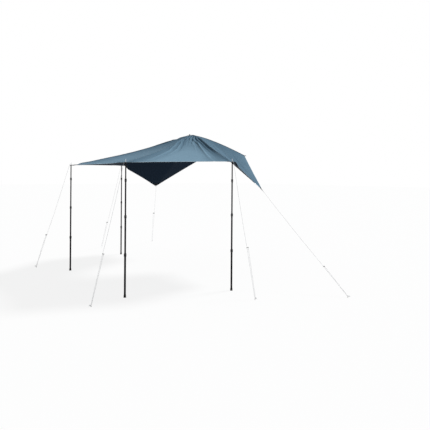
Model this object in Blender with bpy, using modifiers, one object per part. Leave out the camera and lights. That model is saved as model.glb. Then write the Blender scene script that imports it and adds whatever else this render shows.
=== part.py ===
"""Rooftop tent awning: a cloth canopy on four telescoping poles, six guy lines and six pegs.

Metres, +Z up. The origin is on the ground, midway between the two front poles. Front is the
edge away from the tent, +Y runs from there to the tent, and +X is the right-hand side.
"""
import math

import bmesh
import bpy
from mathutils import Matrix, Vector

# Where the poles stand, and the height of each pair's eyelets
FRONT_HALF_WIDTH = 1.094
FRONT_HEIGHT = 2.05
REAR_HALF_WIDTH = 1.874
REAR_DEPTH = 1.489
REAR_HEIGHT = 2.085

# The wing tips: how far each lies inside and behind its rear eyelet, and its height
WING_INSET = 0.131
WING_REACH = 0.875
WING_HEIGHT = 1.611

# The arched inner edge that hangs on the tent
ARCH_PEAK_DEPTH = 2.05
ARCH_PEAK_HEIGHT = 2.70
ARCH_FOOT_HALF_WIDTH = 0.67
ARCH_FOOT_DEPTH = 3.00
ARCH_FOOT_HEIGHT = 2.30
ARCH_FOOT_LENGTH = 0.075
ARCH_LEAN_POWER = 2.0
ARCH_DROP_POWER = 2.2
GATHER_WIDTH = 0.33

# Cloth
CLOTH_THICKNESS = 0.001
CORNER_MARGIN = 0.024
CORNER_FLAT = 0.055
PATCH_RADIUS = 0.074
BLEND_WIDTH = 0.12
BAND_DEPTH = 0.036
ROOF_SAG = 0.05
PANEL_SAG = 0.04
FRONT_EDGE_HOLLOW = 0.06
FRONT_EDGE_SAG = 0.023
SIDE_EDGE_HOLLOW = 0.012
WING_EDGE_HOLLOW = 0.02
FOLD_DEPTH = 0.016
FOLD_START = 0.12
SHORT_FOLD = 0.3

# Poles: four tubes that slide in each other
LOWER_TUBE_DIAMETER = 0.030
TUBE_WALL = 0.0013
TUBE_CLEARANCE = 0.00045
LOWER_TUBE_LENGTH = 0.639
MIDDLE_TUBE_LENGTH = 0.680
UPPER_TUBE_LENGTH = 0.655
TOP_TUBE_LENGTH = 0.600
TUBE_OVERLAP = 0.100
SWAGE_LENGTH = 0.012
SWAGE_RISE = 0.0002
PIN_DIAMETER = 0.008
PIN_HEIGHT = 0.048

# Twist locks
LOCK_WALL = 0.0048
LOCK_GRIP_BELOW = 0.026
LOCK_GRIP_ABOVE = 0.022
LOCK_NECK = 0.008
LOCK_LIP_WALL = 0.003
LOCK_RIB_DEPTH = 0.0011
TWIST_CLEARANCE = 0.0003

# Feet
FOOT_WALL = 0.0032
FOOT_FLOOR = 0.006
FOOT_HEIGHT = 0.038
FOOT_RIM_WIDTH = 0.002
FOOT_RIM_HEIGHT = 0.009

# Eyelets
EYELET_BORE_RADIUS = 0.0065
EYELET_BARREL_WALL = 0.001
EYELET_FLANGE_RADIUS = 0.013
EYELET_FLANGE_THICKNESS = 0.0008
SEAT_GAP = 0.0003

# Guy lines and their sliders
LINE_DIAMETER = 0.003
LINE_GAP = 0.0008
LINE_SAG = 0.008
CORNER_BEND = 0.009
PIN_LOOP_LENGTH = 0.025
WING_LOOP_LENGTH = 0.060
SLIDER_SPACING = 0.026
SLIDER_END_RADIUS = 0.0075
SLIDER_THICKNESS = 0.007
SLIDER_HOLE_RADIUS = 0.0024
KNOT_SWELL = 1.9

# Pegs
PEG_DIAMETER = 0.007
PEG_LENGTH = 0.170
PEG_LEAN = math.radians(35)
PEG_LOOP_HEIGHT = 0.012
PEG_NECK = 0.020
PEG_HOOK_RADIUS = 0.009
PEG_HOOK_TURN = math.radians(200)
PEG_POINT_SHARE = 0.25
PEG_POINT_LENGTH = 0.020

# Hooks that hang the inner edge on the tent
HOOK_WIDTH = 0.025
HOOK_BASE_LENGTH = 0.030
HOOK_THICKNESS = 0.003
HOOK_RISE = 0.018
HOOK_REACH = 0.020
HOOK_LIP = 0.009
RIVET_RADIUS = 0.003
RIVET_HEAD_RADIUS = 0.0055
RIVET_HEAD_THICKNESS = 0.0015

# How finely round shapes are cut
ROUND_STEPS = 16
SMOOTH_TURN = math.radians(25)

UP = Vector((0, 0, 1))

# How far each guy line's peg enters the ground from the point under its eyelet, along X and Y,
# and how far down the line its slider sits
PEG_OFFSETS = {
    "front_left": (-0.667, -0.424),
    "front_right": (0.077, -0.560),
    "rear_left": (-1.156, 0.061),
    "rear_right": (0.559, -0.048),
    "wing_left": (-1.223, 0.662),
    "wing_right": (1.545, 0.240),
}
SLIDER_SHARES = {
    "front_left": 0.68,
    "front_right": 0.655,
    "rear_left": 0.68,
    "rear_right": 0.645,
    "wing_left": 0.45,
    "wing_right": 0.742,
}

# Colour, roughness and metallic value of each kind of piece
CLOTH = ((0.16, 0.27, 0.36), 0.85, 0.0)
BLACK_TUBE = ((0.02, 0.02, 0.022), 0.35, 0.6)
BLACK_PLASTIC = ((0.03, 0.03, 0.032), 0.55, 0.0)
BLACK_RUBBER = ((0.03, 0.03, 0.03), 0.9, 0.0)
BRIGHT_METAL = ((0.62, 0.63, 0.66), 0.3, 1.0)
PALE_CORD = ((0.66, 0.67, 0.69), 0.8, 0.0)


def clear_scene():
    """Remove what a new file starts with."""
    for thing in list(bpy.data.objects):
        bpy.data.objects.remove(thing, do_unlink=True)


def new_collection(name):
    collection = bpy.data.collections.new(name)
    bpy.context.scene.collection.children.link(collection)
    return collection


def new_material(name, colour, roughness, metallic):
    """A plain Principled material, one for each object."""
    material = bpy.data.materials.new(name)
    material.use_nodes = True
    shader = material.node_tree.nodes["Principled BSDF"]
    shader.inputs["Base Color"].default_value = (*colour, 1)
    shader.inputs["Roughness"].default_value = roughness
    shader.inputs["Metallic"].default_value = metallic
    return material


def add_object(name, data, look, parent=None, location=(0, 0, 0)):
    """Put a mesh or curve in the awning's collection with a material of its own."""
    thing = bpy.data.objects.new(name, data)
    AWNING.objects.link(thing)
    thing.location = location
    thing.parent = parent
    data.materials.append(new_material(name, *look))
    return thing


def add_empty(name, location):
    empty = bpy.data.objects.new(name, None)
    AWNING.objects.link(empty)
    empty.location = location
    return empty


def add_cutter(name, mesh, matrix):
    """A shape that a Boolean reads, kept out of the awning itself."""
    cutter = bpy.data.objects.new(name, mesh)
    CUTTERS.objects.link(cutter)
    cutter.matrix_world = matrix
    cutter.hide_render = True
    cutter.display_type = "WIRE"
    return cutter


def add_boolean(piece, cutter, operation):
    step = piece.modifiers.new(cutter.name, "BOOLEAN")
    step.operation = operation
    step.object = cutter
    step.solver = "EXACT"


def cylinder_mesh(name, radius, length):
    mesh = bpy.data.meshes.new(name)
    form = bmesh.new()
    bmesh.ops.create_cone(
        form, cap_ends=True, segments=ROUND_STEPS, radius1=radius, radius2=radius, depth=length
    )
    form.to_mesh(mesh)
    form.free()
    return mesh


def turned(name, profile, look, parent=None, location=(0, 0, 0), ring=False):
    """A turned piece: a profile of (radius, height) points spun about its own Z axis."""
    mesh = bpy.data.meshes.new(name)
    edges = [(i, i + 1) for i in range(len(profile) - 1)]
    if ring:
        edges.append((len(profile) - 1, 0))
    mesh.from_pydata([(r, 0, z) for r, z in profile], edges, [])
    piece = add_object(name, mesh, look, parent, location)
    spin = piece.modifiers.new("Turn", "SCREW")
    spin.steps = ROUND_STEPS
    spin.render_steps = ROUND_STEPS
    spin.use_merge_vertices = True
    spin.merge_threshold = 0.00001
    return piece


def frame_matrix(origin, x, y, z):
    """The matrix of a frame with its origin and its three unit axes."""
    turn = Matrix((x, y, z)).transposed().to_4x4()
    return Matrix.Translation(origin) @ turn


def outside(radius):
    """The corner radius of a many-sided bore that clears a shaft of this radius all round."""
    return (radius + TWIST_CLEARANCE) / math.cos(math.pi / ROUND_STEPS)


# Poles


def tube_radii():
    """Outer radii of the lower, middle, upper and top tube, each sliding in the one before."""
    radii = [LOWER_TUBE_DIAMETER / 2]
    while len(radii) < 4:
        radii.append(radii[-1] - TUBE_WALL - TUBE_CLEARANCE)
    return radii


def tube_tops():
    """Heights of the upper ends of the lower, middle and upper tube above the ground."""
    lower = FOOT_FLOOR + TWIST_CLEARANCE + LOWER_TUBE_LENGTH
    middle = lower + MIDDLE_TUBE_LENGTH - TUBE_OVERLAP
    upper = middle + UPPER_TUBE_LENGTH - TUBE_OVERLAP
    return [lower, middle, upper]


def eyelet_face():
    """How far an eyelet's outer face stands from the middle of the cloth."""
    return CLOTH_THICKNESS / 2 + SEAT_GAP + EYELET_FLANGE_THICKNESS


def dome_drop():
    """How far a pole's dome centre lies under the cloth, with the dome seated in its eyelet."""
    reach = tube_radii()[3] + SEAT_GAP
    return eyelet_face() + math.sqrt(reach**2 - EYELET_BORE_RADIUS**2)


def swaged_end(radius, bottom):
    """The lower end of a tube, a little swollen so that it stays centred in the next tube."""
    swollen = radius + SWAGE_RISE
    return [
        (radius, bottom + SWAGE_LENGTH),
        (swollen, bottom + SWAGE_LENGTH - 4 * SWAGE_RISE),
        (swollen, bottom),
        (radius - TUBE_WALL, bottom),
    ]


def open_tube(name, radius, length, swaged, parent, location):
    """A tube that hangs down from its origin at its upper end."""
    inner = radius - TUBE_WALL
    if swaged:
        foot = swaged_end(radius, -length)
    else:
        foot = [(radius, -length), (inner, -length)]
    return turned(name, [(radius, 0), *foot, (inner, 0)], BLACK_TUBE, parent, location, True)


def top_tube(name, parent):
    """The thinnest tube, with its origin at the centre of the domed end that carries the pin."""
    radius = tube_radii()[3]
    pin = PIN_DIAMETER / 2
    pin_top = dome_drop() + PIN_HEIGHT
    start = math.asin(pin / radius)
    angles = [start + (math.pi / 2 - start) * i / 4 for i in range(5)]
    dome = [(radius * math.sin(a), radius * math.cos(a)) for a in angles]
    inner = radius - TUBE_WALL
    hollow = [(inner * math.sin(a), inner * math.cos(a)) for a in (math.pi / 2, math.pi / 4, 0)]
    tip = [(0, pin_top), (pin * 0.6, pin_top), (pin, pin_top - pin * 0.7)]
    profile = [*tip, *dome, *swaged_end(radius, -TOP_TUBE_LENGTH), *hollow]
    return turned(name, profile, BLACK_TUBE, parent)


def fluted_ring(name, rings, look, parent, location):
    """A loft between round and fluted rings of (radius, height, flute depth), closed in itself."""
    mesh = bpy.data.meshes.new(name)
    form = bmesh.new()
    loops = []
    for radius, height, flute in rings:
        loop = []
        for step in range(ROUND_STEPS):
            angle = 2 * math.pi * step / ROUND_STEPS
            reach = radius - flute * (step % 2)
            spot = (reach * math.cos(angle), reach * math.sin(angle), height)
            loop.append(form.verts.new(spot))
        loops.append(loop)
    for this, after in zip(loops, loops[1:] + loops[:1]):
        for step in range(ROUND_STEPS):
            turn = (step + 1) % ROUND_STEPS
            form.faces.new((this[step], this[turn], after[turn], after[step]))
    bmesh.ops.recalc_face_normals(form, faces=form.faces)
    form.to_mesh(mesh)
    form.free()
    return add_object(name, mesh, look, parent, location)


def twist_lock(name, outer_radius, inner_radius, parent, location):
    """The ring that clamps one tube in another, with its origin at the outer tube's top."""
    grip = outer_radius + LOCK_WALL
    lip = inner_radius + TWIST_CLEARANCE + LOCK_LIP_WALL
    chamfer = 1.5 * LOCK_RIB_DEPTH
    rings = [
        (outside(outer_radius), -LOCK_GRIP_BELOW, 0),
        (grip - chamfer, -LOCK_GRIP_BELOW, 0),
        (grip, chamfer - LOCK_GRIP_BELOW, LOCK_RIB_DEPTH),
        (grip, LOCK_GRIP_ABOVE - LOCK_NECK, LOCK_RIB_DEPTH),
        (lip, LOCK_GRIP_ABOVE, 0),
        (outside(inner_radius), LOCK_GRIP_ABOVE, 0),
        (outside(inner_radius), TWIST_CLEARANCE, 0),
        (outside(outer_radius), TWIST_CLEARANCE, 0),
    ]
    return fluted_ring(name, rings, BLACK_PLASTIC, parent, location)


def rubber_foot(name, tube_radius, parent, location):
    """A cap under the lower tube, with a rim round its flat sole and its origin in the sole."""
    bore = outside(tube_radius)
    wall = bore + FOOT_WALL
    rim = wall + FOOT_RIM_WIDTH
    profile = [
        (0, FOOT_FLOOR),
        (bore, FOOT_FLOOR),
        (bore, FOOT_HEIGHT),
        (wall, FOOT_HEIGHT),
        (wall, FOOT_RIM_HEIGHT + FOOT_RIM_WIDTH),
        (rim, FOOT_RIM_HEIGHT),
        (rim, 0),
        (0, 0),
    ]
    return turned(name, profile, BLACK_RUBBER, parent, location)


def telescoping_pole(name, x, y, height):
    """One pole. Its empty is the centre of its domed end, on which it leans in its eyelet."""
    dome = height - dome_drop()
    pivot = add_empty(f"{name}_pole", (x, y, dome))
    radii = tube_radii()
    rubber_foot(f"{name}_foot", radii[0], pivot, (0, 0, -dome))
    sections = zip(
        ("lower", "middle", "upper"),
        (LOWER_TUBE_LENGTH, MIDDLE_TUBE_LENGTH, UPPER_TUBE_LENGTH),
        tube_tops(),
    )
    for i, (section, length, top) in enumerate(sections):
        place = (0, 0, top - dome)
        open_tube(f"{name}_{section}_tube", radii[i], length, i > 0, pivot, place)
        twist_lock(f"{name}_{section}_lock", radii[i], radii[i + 1], pivot, place)
    top_tube(f"{name}_top_tube", pivot)


# Canopy


def mirrored(point, side):
    return Vector((point[0] * side, point[1], point[2]))


def arch_point(u):
    """A point on the arched inner edge, where u is 0 at the peak and 1 or -1 at a foot."""
    lean = abs(u) ** ARCH_LEAN_POWER
    drop = abs(u) ** ARCH_DROP_POWER
    return Vector((
        ARCH_FOOT_HALF_WIDTH * u,
        ARCH_PEAK_DEPTH + (ARCH_FOOT_DEPTH - ARCH_PEAK_DEPTH) * lean,
        ARCH_PEAK_HEIGHT - (ARCH_PEAK_HEIGHT - ARCH_FOOT_HEIGHT) * drop,
    ))


# How the columns of the cloth are shared out: for each edge of the right half, from the middle
# of the front to the foot of the arch, the shares of the edge at which a column ends. None
# stands for a column close to the corner, one flat patch away from it.
FRONT_COLUMNS = (0.5, 0.66, 0.83, None, 1.0)
SIDE_COLUMNS = (None, 0.12, 0.23, 0.35, 0.47, 0.59, 0.72, 0.86, None, 1.0)
WING_COLUMNS = (None, 0.35, 0.65, None, 1.0)
REAR_COLUMNS = (None, 0.33, 0.66, 1.0)
FAN_COLUMNS = len(FRONT_COLUMNS) - 1 + len(SIDE_COLUMNS)
MIDDLE_ROWS = 5
WING_TIP_U = 0.62

# The folds that run far down the cloth, as the column of each and the share of its length
LONG_FOLDS = {5: 0.75, 6: 0.85, 11: 0.95, 12: 0.75, 13: 0.8}

FRONT_EYELET = Vector((FRONT_HALF_WIDTH, 0, FRONT_HEIGHT))
REAR_EYELET = Vector((REAR_HALF_WIDTH, REAR_DEPTH, REAR_HEIGHT))
WING_EYELET = Vector((REAR_HALF_WIDTH - WING_INSET, REAR_DEPTH + WING_REACH, WING_HEIGHT))


def gather_u(column):
    """Where a column of the front fan starts on the arch: all of them start in the gather."""
    return GATHER_WIDTH / 2 / ARCH_FOOT_HALF_WIDTH * column / FAN_COLUMNS


def corner(eyelet, u, flat):
    """The corner of the cloth outside an eyelet, in line with the start of its column."""
    out = eyelet - arch_point(u)
    if flat:
        out.z = 0
    return eyelet + CORNER_MARGIN * out.normalized()


def share_of(mark, at_start, length):
    """Turn a None in the column lists into the share one flat patch from its corner."""
    if mark is not None:
        return mark
    near = CORNER_FLAT / length
    return near if at_start else 1 - near


def edge_columns(marks, start, end, u_start, u_end, hollow, sag):
    """Columns along one edge as (start on the arch, end on the outline)."""
    columns = []
    length = (end - start).length
    for i, mark in enumerate(marks):
        share = share_of(mark, i < len(marks) / 2, length)
        step = (i + 1) / len(marks)
        inner = arch_point(u_start + (u_end - u_start) * step)
        outer = start.lerp(end, share)
        bow = 4 * share * (1 - share)
        outer += (inner - outer).normalized() * hollow * bow - UP * sag * bow
        columns.append((inner, outer))
    return columns


def half_columns():
    """The columns of the right half, from the middle of the front to the foot of the arch."""
    fan = len(FRONT_COLUMNS) - 1
    front = corner(FRONT_EYELET, gather_u(fan), True)
    rear = corner(REAR_EYELET, gather_u(FAN_COLUMNS), True)
    tip = corner(WING_EYELET, WING_TIP_U, False)
    foot = arch_point(1)
    end = foot + (tip - foot).normalized() * ARCH_FOOT_LENGTH
    u_fan = gather_u(fan)
    u_rear = gather_u(FAN_COLUMNS)
    first = edge_columns(
        FRONT_COLUMNS, mirrored(front, -1), front, -u_fan / fan, u_fan,
        FRONT_EDGE_HOLLOW, FRONT_EDGE_SAG,
    )
    return (
        first
        + edge_columns(SIDE_COLUMNS, front, rear, u_fan, u_rear, SIDE_EDGE_HOLLOW, 0)
        + edge_columns(WING_COLUMNS, rear, tip, u_rear, WING_TIP_U, WING_EDGE_HOLLOW, 0)
        + edge_columns(REAR_COLUMNS, tip, end, WING_TIP_U, 1, WING_EDGE_HOLLOW, 0)
    )


def row_distances(length):
    """How far from the arch each row crosses a column: close together at both of its ends."""
    close = min(1, length / (BAND_DEPTH + CORNER_FLAT) / 4)
    near = [0, BAND_DEPTH * close, 2.5 * BAND_DEPTH * close]
    far = [length - CORNER_FLAT * close, length]
    span = (far[0] - near[-1]) / (MIDDLE_ROWS + 1)
    middle = [near[-1] + span * (i + 1) for i in range(MIDDLE_ROWS)]
    return near + middle + far


def fold_height(column, distance, share):
    """Folds fan out of the gather: every other column is a crest, and they run out unevenly."""
    if abs(column) >= FAN_COLUMNS:
        return 0
    reach = LONG_FOLDS.get(abs(column), SHORT_FOLD)
    fade = max(0, 1 - share / reach) ** 0.8
    rise = min(1, distance / FOLD_START)
    return FOLD_DEPTH * (-1) ** column * rise * fade


def slack(column):
    """How loose the roof is: 0 on the taut ridge to each corner and on the wings, 1 midway."""
    fan = len(FRONT_COLUMNS) - 1
    place = abs(column)
    for start, end in ((-fan, fan), (fan, FAN_COLUMNS)):
        if start <= place <= end:
            share = (place - start) / (end - start)
            return 4 * share * (1 - share)
    return 0


def foot_frame(side):
    """Origin, outward, width and normal axes of a hook at a foot of the arch."""
    foot = arch_point(1)
    tip = corner(WING_EYELET, WING_TIP_U, False)
    along = (tip - foot).normalized()
    inward = (arch_point(0.9) - foot).normalized()
    normal = inward.cross(along)
    if normal.z < 0:
        normal.negate()
    normal.normalize()
    out = along.cross(normal)
    if out.dot(inward) > 0:
        out.negate()
    origin = foot + along * (ARCH_FOOT_LENGTH / 2)
    return [mirrored(v, side) for v in (origin, out, along, normal)]


def peak_frame():
    """Origin, outward, width and normal axes of the hook at the peak of the arch."""
    down = corner(FRONT_EYELET, 0, True)
    slope = Vector((0, down.y, down.z)) - arch_point(0)
    out = -slope.normalized()
    width = Vector((1, 0, 0))
    return [arch_point(0), out, width, width.cross(out)]


def wing_normal(side):
    """The upward normal of the cloth at a wing tip."""
    tip = WING_EYELET
    normal = (REAR_EYELET - tip).cross(arch_point(1) - tip).normalized()
    if normal.z < 0:
        normal.negate()
    return mirrored(normal, side)


def flat_patches():
    """Where a fitting needs the cloth flat: centre, normal and flat radius."""
    patches = []
    for side in (-1, 1):
        patches.append((mirrored(FRONT_EYELET, side), UP, PATCH_RADIUS))
        patches.append((mirrored(REAR_EYELET, side), UP, PATCH_RADIUS))
        patches.append((mirrored(WING_EYELET, side), wing_normal(side), PATCH_RADIUS))
        origin, _, _, normal = foot_frame(side)
        patches.append((origin, normal, ARCH_FOOT_LENGTH))
    origin, _, _, normal = peak_frame()
    patches.append((origin, normal, 1.5 * BAND_DEPTH))
    return patches


def flattened(point, patches):
    """Move a point of the cloth on to the plane of each patch that it is close to."""
    for centre, normal, radius in patches:
        away = (point - centre).length - radius
        share = min(1, max(0, 1 - away / BLEND_WIDTH))
        share = share * share * (3 - 2 * share)
        point = point - normal * (point - centre).dot(normal) * share
    return point


def canopy():
    """One sheet lofted from the arched inner edge to the outline, given its thickness."""
    right = half_columns()
    left = [(mirrored(a, -1), mirrored(b, -1)) for a, b in right[:0:-1]]
    columns = left + right
    patches = flat_patches()
    form = bmesh.new()
    grid = []
    for number, (inner, outer) in enumerate(columns, start=-len(left)):
        length = (outer - inner).length
        longest = (FRONT_EYELET - arch_point(0)).length
        line = []
        for distance in row_distances(length):
            share = distance / length
            point = inner.lerp(outer, share)
            sag = ROOF_SAG * (length / longest) ** 2 + PANEL_SAG * slack(number)
            point.z -= sag * 4 * share * (1 - share)
            point.z += fold_height(number, distance, share)
            line.append(form.verts.new(flattened(point, patches)))
        grid.append(line)
    for this, after in zip(grid, grid[1:]):
        for row in range(len(this) - 1):
            form.faces.new((this[row], this[row + 1], after[row + 1], after[row]))
    mesh = bpy.data.meshes.new("canopy")
    form.to_mesh(mesh)
    form.free()
    cloth = add_object("canopy", mesh, CLOTH)
    wall = cloth.modifiers.new("Thickness", "SOLIDIFY")
    wall.thickness = CLOTH_THICKNESS
    wall.offset = 0
    return cloth


def eyelet_places():
    """Name, centre and normal of each eyelet."""
    places = []
    for word, side in (("left", -1), ("right", 1)):
        places.append((f"front_{word}", mirrored(FRONT_EYELET, side), UP))
        places.append((f"rear_{word}", mirrored(REAR_EYELET, side), UP))
        places.append((f"wing_{word}", mirrored(WING_EYELET, side), wing_normal(side)))
    return places


def standing_on(centre, normal):
    """The matrix of a frame at a centre with its Z axis along a normal."""
    return Matrix.Translation(centre) @ UP.rotation_difference(normal).to_matrix().to_4x4()


def eyelet(name, centre, normal, cloth):
    """A metal ring clamped round a hole in the cloth."""
    barrel = EYELET_BORE_RADIUS + EYELET_BARREL_WALL
    outer = eyelet_face()
    under = outer - EYELET_FLANGE_THICKNESS
    bore = EYELET_BORE_RADIUS / math.cos(math.pi / ROUND_STEPS)
    profile = [
        (bore, outer),
        (EYELET_FLANGE_RADIUS, outer),
        (EYELET_FLANGE_RADIUS, under),
        (barrel, under),
        (barrel, -under),
        (EYELET_FLANGE_RADIUS, -under),
        (EYELET_FLANGE_RADIUS, -outer),
        (bore, -outer),
    ]
    ring = turned(f"{name}_eyelet", profile, BRIGHT_METAL, ring=True)
    ring.matrix_world = standing_on(centre, normal)
    hole = cylinder_mesh(f"{name}_hole", outside(barrel), 20 * CLOTH_THICKNESS)
    add_boolean(cloth, add_cutter(f"{name}_hole", hole, standing_on(centre, normal)), "DIFFERENCE")


def hook(name, axes, cloth):
    """A hook riveted on the cloth's inner edge, whose strap lies on a rail of the tent."""
    origin, out, width, normal = axes
    low = CLOTH_THICKNESS / 2 + SEAT_GAP
    wall = HOOK_THICKNESS
    front = wall + SEAT_GAP
    reach = front + HOOK_REACH
    outline = [
        (front - HOOK_BASE_LENGTH, low),
        (front, low),
        (front, low + HOOK_RISE - wall),
        (reach - wall, low + HOOK_RISE - wall),
        (reach - wall, low + HOOK_RISE - HOOK_LIP),
        (reach, low + HOOK_RISE - HOOK_LIP),
        (reach, low + HOOK_RISE),
        (front - wall, low + HOOK_RISE),
        (front - wall, low + wall),
        (front - HOOK_BASE_LENGTH, low + wall),
    ]
    flat = bpy.data.curves.new(f"{name}_outline", "CURVE")
    flat.dimensions = "2D"
    flat.fill_mode = "BOTH"
    flat.extrude = HOOK_WIDTH / 2
    strip = flat.splines.new("POLY")
    strip.points.add(len(outline) - 1)
    for point, (x, y) in zip(strip.points, outline):
        point.co = (x, y, 0, 1)
    strip.use_cyclic_u = True
    side = out.cross(normal)
    piece = meshed(name, flat, frame_matrix(origin, out, normal, side), BLACK_PLASTIC)
    middle = origin + out * (front - wall - HOOK_BASE_LENGTH / 2)
    stem = HOOK_THICKNESS / 2 + low + low + RIVET_HEAD_THICKNESS / 2
    shank = cylinder_mesh(f"{name}_shank", RIVET_RADIUS, stem)
    centre = low + HOOK_THICKNESS / 2 - stem / 2
    add_boolean(
        piece, add_cutter(f"{name}_shank", shank, standing_on(middle + normal * centre, normal)),
        "UNION",
    )
    head = cylinder_mesh(f"{name}_head", RIVET_HEAD_RADIUS, RIVET_HEAD_THICKNESS)
    below = -low - RIVET_HEAD_THICKNESS / 2
    add_boolean(
        piece, add_cutter(f"{name}_head", head, standing_on(middle + normal * below, normal)),
        "UNION",
    )
    hole = cylinder_mesh(f"{name}_hole", outside(RIVET_RADIUS), 20 * CLOTH_THICKNESS)
    add_boolean(cloth, add_cutter(f"{name}_hole", hole, standing_on(middle, normal)), "DIFFERENCE")


def meshed(name, curve, matrix, look):
    """Turn a curve into a mesh object, so that a Boolean can take it."""
    guide = bpy.data.objects.new(f"{name}_guide", curve)
    CUTTERS.objects.link(guide)
    guide.matrix_world = matrix
    bpy.context.view_layer.update()
    evaluated = guide.evaluated_get(bpy.context.evaluated_depsgraph_get())
    mesh = bpy.data.meshes.new_from_object(evaluated)
    bpy.data.objects.remove(guide)
    form = bmesh.new()
    form.from_mesh(mesh)
    bmesh.ops.remove_doubles(form, verts=form.verts, dist=0.00001)
    form.to_mesh(mesh)
    form.free()
    mesh.name = name
    piece = add_object(name, mesh, look)
    piece.matrix_world = matrix
    return piece


# Guy lines


def smooth_line(points):
    """Points on a smooth curve through a route, more of them where the route turns."""
    route = [2 * points[0] - points[1], *points, 2 * points[-1] - points[-2]]
    line = [points[0].copy()]
    for before, start, end, after in zip(route, route[1:], route[2:], route[3:]):
        turn = (start - before).angle(end - start, 0) + (end - start).angle(after - end, 0)
        steps = 2 if turn > SMOOTH_TURN else 1
        span = (end - start).length
        pull_in = (end - before).normalized() * span
        pull_out = (after - start).normalized() * span
        for step in range(1, steps + 1):
            t = step / steps
            line.append(
                start * (2 * t**3 - 3 * t**2 + 1)
                + end * (3 * t**2 - 2 * t**3)
                + pull_in * (t**3 - 2 * t**2 + t)
                + pull_out * (t**3 - t**2)
            )
    return line


def rod(name, points, diameter, look, swell=None):
    """A round rod or cord along a line of points, with a share of its radius at chosen points."""
    curve = bpy.data.curves.new(name, "CURVE")
    curve.dimensions = "3D"
    curve.bevel_depth = diameter / 2
    curve.bevel_resolution = 2
    curve.use_fill_caps = True
    spline = curve.splines.new("POLY")
    spline.points.add(len(points) - 1)
    for i, place in enumerate(points):
        spline.points[i].co = (*place, 1)
    for i, share in (swell or {}).items():
        spline.points[i].radius = share
    return add_object(name, curve, look)


def line_seat():
    """How far the middle of a line lies over the middle of the cloth, where it crosses it."""
    return eyelet_face() + SEAT_GAP + LINE_DIAMETER / 2


def guy_geometry(name, centre, is_wing):
    """The directions and key places of the guy line between an eyelet and its peg."""
    across, along = PEG_OFFSETS[name]
    ground = Vector((centre.x + across, centre.y + along, 0))
    away = ground - centre
    straight = away.normalized()
    away.z = 0
    away.normalize()
    stem = away * math.sin(PEG_LEAN) + UP * math.cos(PEG_LEAN)
    held = ground + stem * (PEG_LOOP_HEIGHT / math.cos(PEG_LEAN))
    side = away.cross(UP)
    if is_wing:
        top = centre + straight * WING_LOOP_LENGTH
    else:
        top = centre + away * (CORNER_MARGIN + CORNER_BEND) + UP * line_seat()
    down = (held - top).normalized()
    across = down.cross(side)
    bite = PEG_DIAMETER / 2 / abs(stem.dot(across)) + SEAT_GAP + LINE_DIAMETER / 2
    loop = max(2 * LINE_DIAMETER, bite)
    down = (held + side * loop - top).normalized()
    hold = (held + side * loop - top).length * SLIDER_SHARES[name]
    return {
        "away": away, "stem": stem, "held": held, "side": side, "top": top, "down": down,
        "loop": loop, "slider": top + down * hold,
    }


def loop_route(centre, radius, length, out, across):
    """A loop round a centre, closed by two strands that meet side by side in the direction out."""
    gap = (LINE_DIAMETER + LINE_GAP) / 2
    taper = [(1, gap), (0.68, gap * 1.25), (0.34, radius * 0.83)]
    before = [centre + out * length * x - across * y for x, y in taper]
    after = [centre + out * length * x + across * y for x, y in taper[::-1]]
    turns = [math.pi * (1.5 - i / 4) for i in range(5)]
    loop = [centre + radius * (out * math.cos(a) + across * math.sin(a)) for a in turns]
    return before + loop + after


def pin_loop(centre, guy):
    """The route's start at a pole: a loop round the pin, then out over the cloth's corner."""
    away, down, turn = guy["away"], guy["down"], guy["top"]
    radius = max(2 * LINE_DIAMETER, PIN_DIAMETER / 2 + SEAT_GAP + LINE_DIAMETER / 2)
    level = centre + UP * line_seat()
    route = loop_route(level, radius, PIN_LOOP_LENGTH, away, guy["side"])
    for t in (0.33, 0.67, 1):
        flat = turn - away * CORNER_BEND * (1 - t)
        steep = turn + down * CORNER_BEND * t
        route.append(flat.lerp(steep, t))
    return route


def wing_loop(centre, guy, normal):
    """The route's start at a wing tip: a loop through the eyelet and round the cloth's corner."""
    out = (guy["down"] - normal * guy["down"].dot(normal)).normalized()
    radius = 2 * LINE_DIAMETER
    hub = centre + out * (radius + LINE_DIAMETER / 2 + SEAT_GAP - EYELET_BORE_RADIUS)
    route = loop_route(hub, radius, WING_LOOP_LENGTH * 0.75, out, normal)
    route.append(guy["top"] + guy["down"] * CORNER_BEND)
    return route


def peg_loop(guy):
    """The route's end: down to the slider, round the peg and back up to the slider's knot."""
    side, down, held = guy["side"], guy["down"], guy["held"]
    across = down.cross(side).normalized()
    if across.z > 0:
        across.negate()
    run = guy["slider"] - guy["top"]
    route = [guy["top"] + run * t + across * LINE_SAG * 4 * t * (1 - t) for t in (0.3, 0.6, 0.85)]
    route.append(guy["slider"])
    for i in range(5):
        angle = math.pi * i / 4
        route.append(held + guy["loop"] * (side * math.cos(angle) + down * math.sin(angle)))
    hole = guy["slider"] - side * SLIDER_SPACING
    for along in (0.012, 0, -SLIDER_THICKNESS / 2 - SEAT_GAP):
        route.append(hole + down * along)
    return route


def guy_line(name, start, guy):
    """One unbroken cord, with the stopper knot as a swelling at its end above the slider."""
    line = smooth_line(start + peg_loop(guy))
    end = line[-1]
    knot = 2 * LINE_DIAMETER
    swell = {}
    for along, share in ((0.0003, KNOT_SWELL * 0.8), (knot * 0.3, KNOT_SWELL), (knot, 0.9)):
        swell[len(line)] = share
        line.append(end - guy["down"] * along)
    rod(f"{name}_guy_line", line, LINE_DIAMETER, PALE_CORD, swell)


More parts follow.
